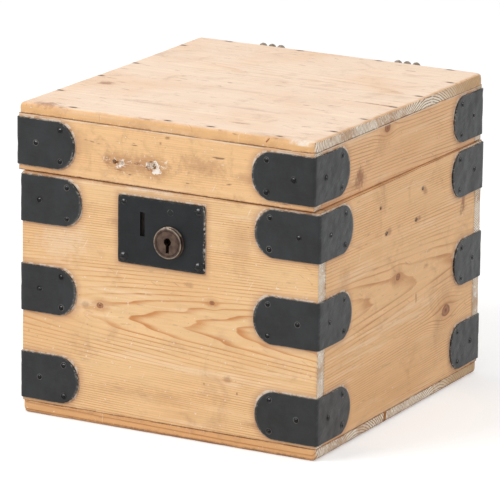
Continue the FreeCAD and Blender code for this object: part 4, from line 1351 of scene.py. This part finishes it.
def make_post_end():
    """The flush end of the spring post in the plate, with the fine gap about it painted as shade."""
    low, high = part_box("spring_post")
    radius = (high.x - low.x) / 2
    length = high.y - low.y
    profile = ((0, 0.10), (0.7, 0.06), (0.93, -0.05), (1.0, -0.35), (1.0, -length / mm + 0.1))
    ring_profile = ((1.0, -0.3), (1.05, 0.0), (1.12, 0.05), (1.18, 0.0), (1.18, -0.3))
    bm = lathe([(share * radius, level * mm) for share, level in profile], 32)
    ring = lathe([(share * radius, level * mm) for share, level in ring_profile], 32, ring=True)
    store(bm, "rim", lambda vert: 0)
    store(ring, "rim", lambda vert: 0.3)
    # Painted shade in the fine gap about the post
    store(bm, "groove", lambda vert: vert.co.xy.length > 0.9 * radius)
    add_copy(bm, as_template(ring), Matrix.Identity(4))
    place = Matrix.Translation(((low.x + high.x) / 2, low.y - 0.12 * mm, (low.z + high.z) / 2))
    piece("spring_post_end", moved(bm, place @ to_front), "box", ["spring_post"], plate_iron)


# Hinges and lock works


def softened_copy(node, edge_round):
    """A merged copy of a CAD node with its sharp edges eased, marked as rim."""
    bm = bmesh.new()
    bm.from_mesh(frame["nodes"][node].data)
    bmesh.ops.remove_doubles(bm, verts=bm.verts, dist=0.01 * mm)
    bmesh.ops.dissolve_limit(bm, angle_limit=math.radians(2), verts=bm.verts, edges=bm.edges)
    sharp = [edge for edge in bm.edges if edge.calc_face_angle(0) > math.radians(40)]
    bevel(bm, sharp, edge_round, 2, clamp_overlap=True)
    store(bm, "rim", lambda vert: 0.6)
    return bm


def make_lock_works():
    for node in ("lock_case", "lock_bolt", "bolt_guides", "key_ward", "bolt_spring"):
        body = "bolt" if node == "lock_bolt" else "box"
        slot, finish = "lock_iron", works_iron
        if node == "bolt_spring":
            slot, finish = "spring_steel", blued_steel()
        piece(node + "_metal", softened_copy(node, 0.12 * mm), body, [node], finish, 30)


def make_hinges():
    for side in ("left", "right"):
        for node, body in (
            ("hinge_body_leaf_" + side, "box"), ("hinge_lid_leaf_" + side, "lid"),
            ("hinge_pin_" + side, "box"),
        ):
            bm = softened_copy(node, 0.2 * mm)
            if body == "lid":
                moved(bm, lid_back_turn)
            piece(node + "_iron", bm, body, [node], hinge_iron, 30)


def make_splinters():
    """Pale slivers of torn wood about the lost hasp's holes."""
    bm = bmesh.new()
    torn_places = ((hasp_left + Vector(lengths(8, 0, -1)), 8 * mm, 16), (hasp_right, 7 * mm, 26))
    for centre, spread, count in torn_places:
        for _ in range(count):
            length = dice.uniform(2.0, 5.5) * mm
            width = dice.uniform(0.35, 0.9) * mm
            sliver = bmesh.new()
            bmesh.ops.create_cone(
                sliver, cap_ends=True, segments=5, radius1=width / 2, radius2=0.05 * mm, depth=length
            )
            place = centre + Vector((
                dice.gauss(0, 0.55) * spread, dice.uniform(-0.15, 0.7) * mm, dice.gauss(0, 0.33) * spread
            ))
            side = dice.choice((-1, 1))
            lean = Vector((side, -dice.uniform(0.0, 0.28), dice.uniform(-0.25, 0.25)))
            add_copy(bm, as_template(sliver), Matrix.Translation(place) @ aim(lean))
    torn_wood = speckled(
        "torn splinters", 900, tone(206, 178, 146), tone(244, 236, 222), 0.8, 0.1 * mm
    )
    piece("hasp_splinters", bm, "lid", [], torn_wood)


make_walls()
make_bottom_boards()
make_lid_rails()
make_lid_top()
make_straps()
make_nails()
make_brads()
make_lock_plate()
make_boss()
make_screws()
make_post_end()
make_lock_works()
make_hinges()
make_splinters()


# Stage

white = (1, 1, 1, 1)


def make_floor():
    """A pale floor that takes shadows and is white where the camera or a gloss sees it."""
    floor_half = 8
    floor_drop = 0.15 * mm
    glow = 0.385
    finish = material("pale floor")
    seen, gloss, through = (
        finish.node("ShaderNodeLightPath", {}, {}, ray)
        for ray in ("Is Camera Ray", "Is Glossy Ray", "Is Transmission Ray")
    )
    lift = finish.maths("MAXIMUM", finish.maths("MAXIMUM", seen, gloss), through)
    mottle = finish.noise(finish.place(), 3, 2, 0.5)
    finish.feed(
        "Principled BSDF", Base_Color=finish.mix(mottle, (0.80, 0.80, 0.80, 1), (0.82, 0.82, 0.82, 1)),
        Roughness=0.9, Specular_IOR_Level=0.1, Emission_Color=white, Emission_Strength=lift * glow,
    )
    bm = bmesh.new()
    bmesh.ops.create_grid(bm, x_segments=2, y_segments=2, size=floor_half)
    bmesh.ops.translate(bm, vec=(0, 0, -floor_drop), verts=bm.verts)
    floor = shape_of(bm)
    floor.name = "floor"
    floor.data.materials.append(finish.owner)


def make_world():
    """A bright even studio; the backdrop is white where the camera or a gloss sees it."""
    studio = Finish(bpy.data.worlds.new("studio"))
    bpy.context.scene.world = studio.owner
    seen, gloss = (
        studio.node("ShaderNodeLightPath", {}, {}, ray) for ray in ("Is Camera Ray", "Is Glossy Ray")
    )
    strength = studio.node(
        "ShaderNodeMapRange", {},
        {"Value": studio.maths("MAXIMUM", seen, gloss), "To Min": 0.60, "To Max": 1.0},
    )
    studio.feed("Background", Color=white, Strength=strength)


def make_light(name, place, target, size, power):
    lamp = bpy.data.lights.new(name, "AREA")
    lamp.shape = "SQUARE"
    lamp.size = size
    lamp.energy = power
    light = bpy.data.objects.new(name, lamp)
    light.location = place
    light.rotation_mode = "QUATERNION"
    light.rotation_quaternion = (Vector(target) - Vector(place)).to_track_quat("-Z", "Y")
    bpy.context.scene.collection.objects.link(light)


def make_camera():
    """The camera as fitted to the corners of the box in the photograph."""
    data = bpy.data.cameras.new("camera")
    data.sensor_width = 36
    data.lens = 313.1
    data.clip_end = 50
    camera = bpy.data.objects.new("camera", data)
    place = (2.093578, -3.895713, 1.325654)
    yaw, pitch, roll = (math.radians(angle) for angle in (28.323, 14.824, 0.689))
    turn = (
        Matrix.Rotation(yaw, 4, "Z")
        @ Matrix.Rotation(math.pi / 2 - pitch, 4, "X")
        @ Matrix.Rotation(roll, 4, "Z")
    )
    camera.matrix_world = Matrix.Translation(place) @ turn
    bpy.context.scene.collection.objects.link(camera)
    bpy.context.scene.camera = camera


make_floor()
make_world()
make_light("key", (-1.6, -2.2, 2.6), (0, 0, 0.15), 1.6, 56)
make_light("top", (0.2, 0.2, 2.6), (0, 0, 0.2), 1.8, 8)
make_light("fill", (2.6, -1.0, 1.2), (0, 0, 0.15), 1.6, 7)
make_camera()
bpy.context.scene.view_settings.view_transform = "Standard"
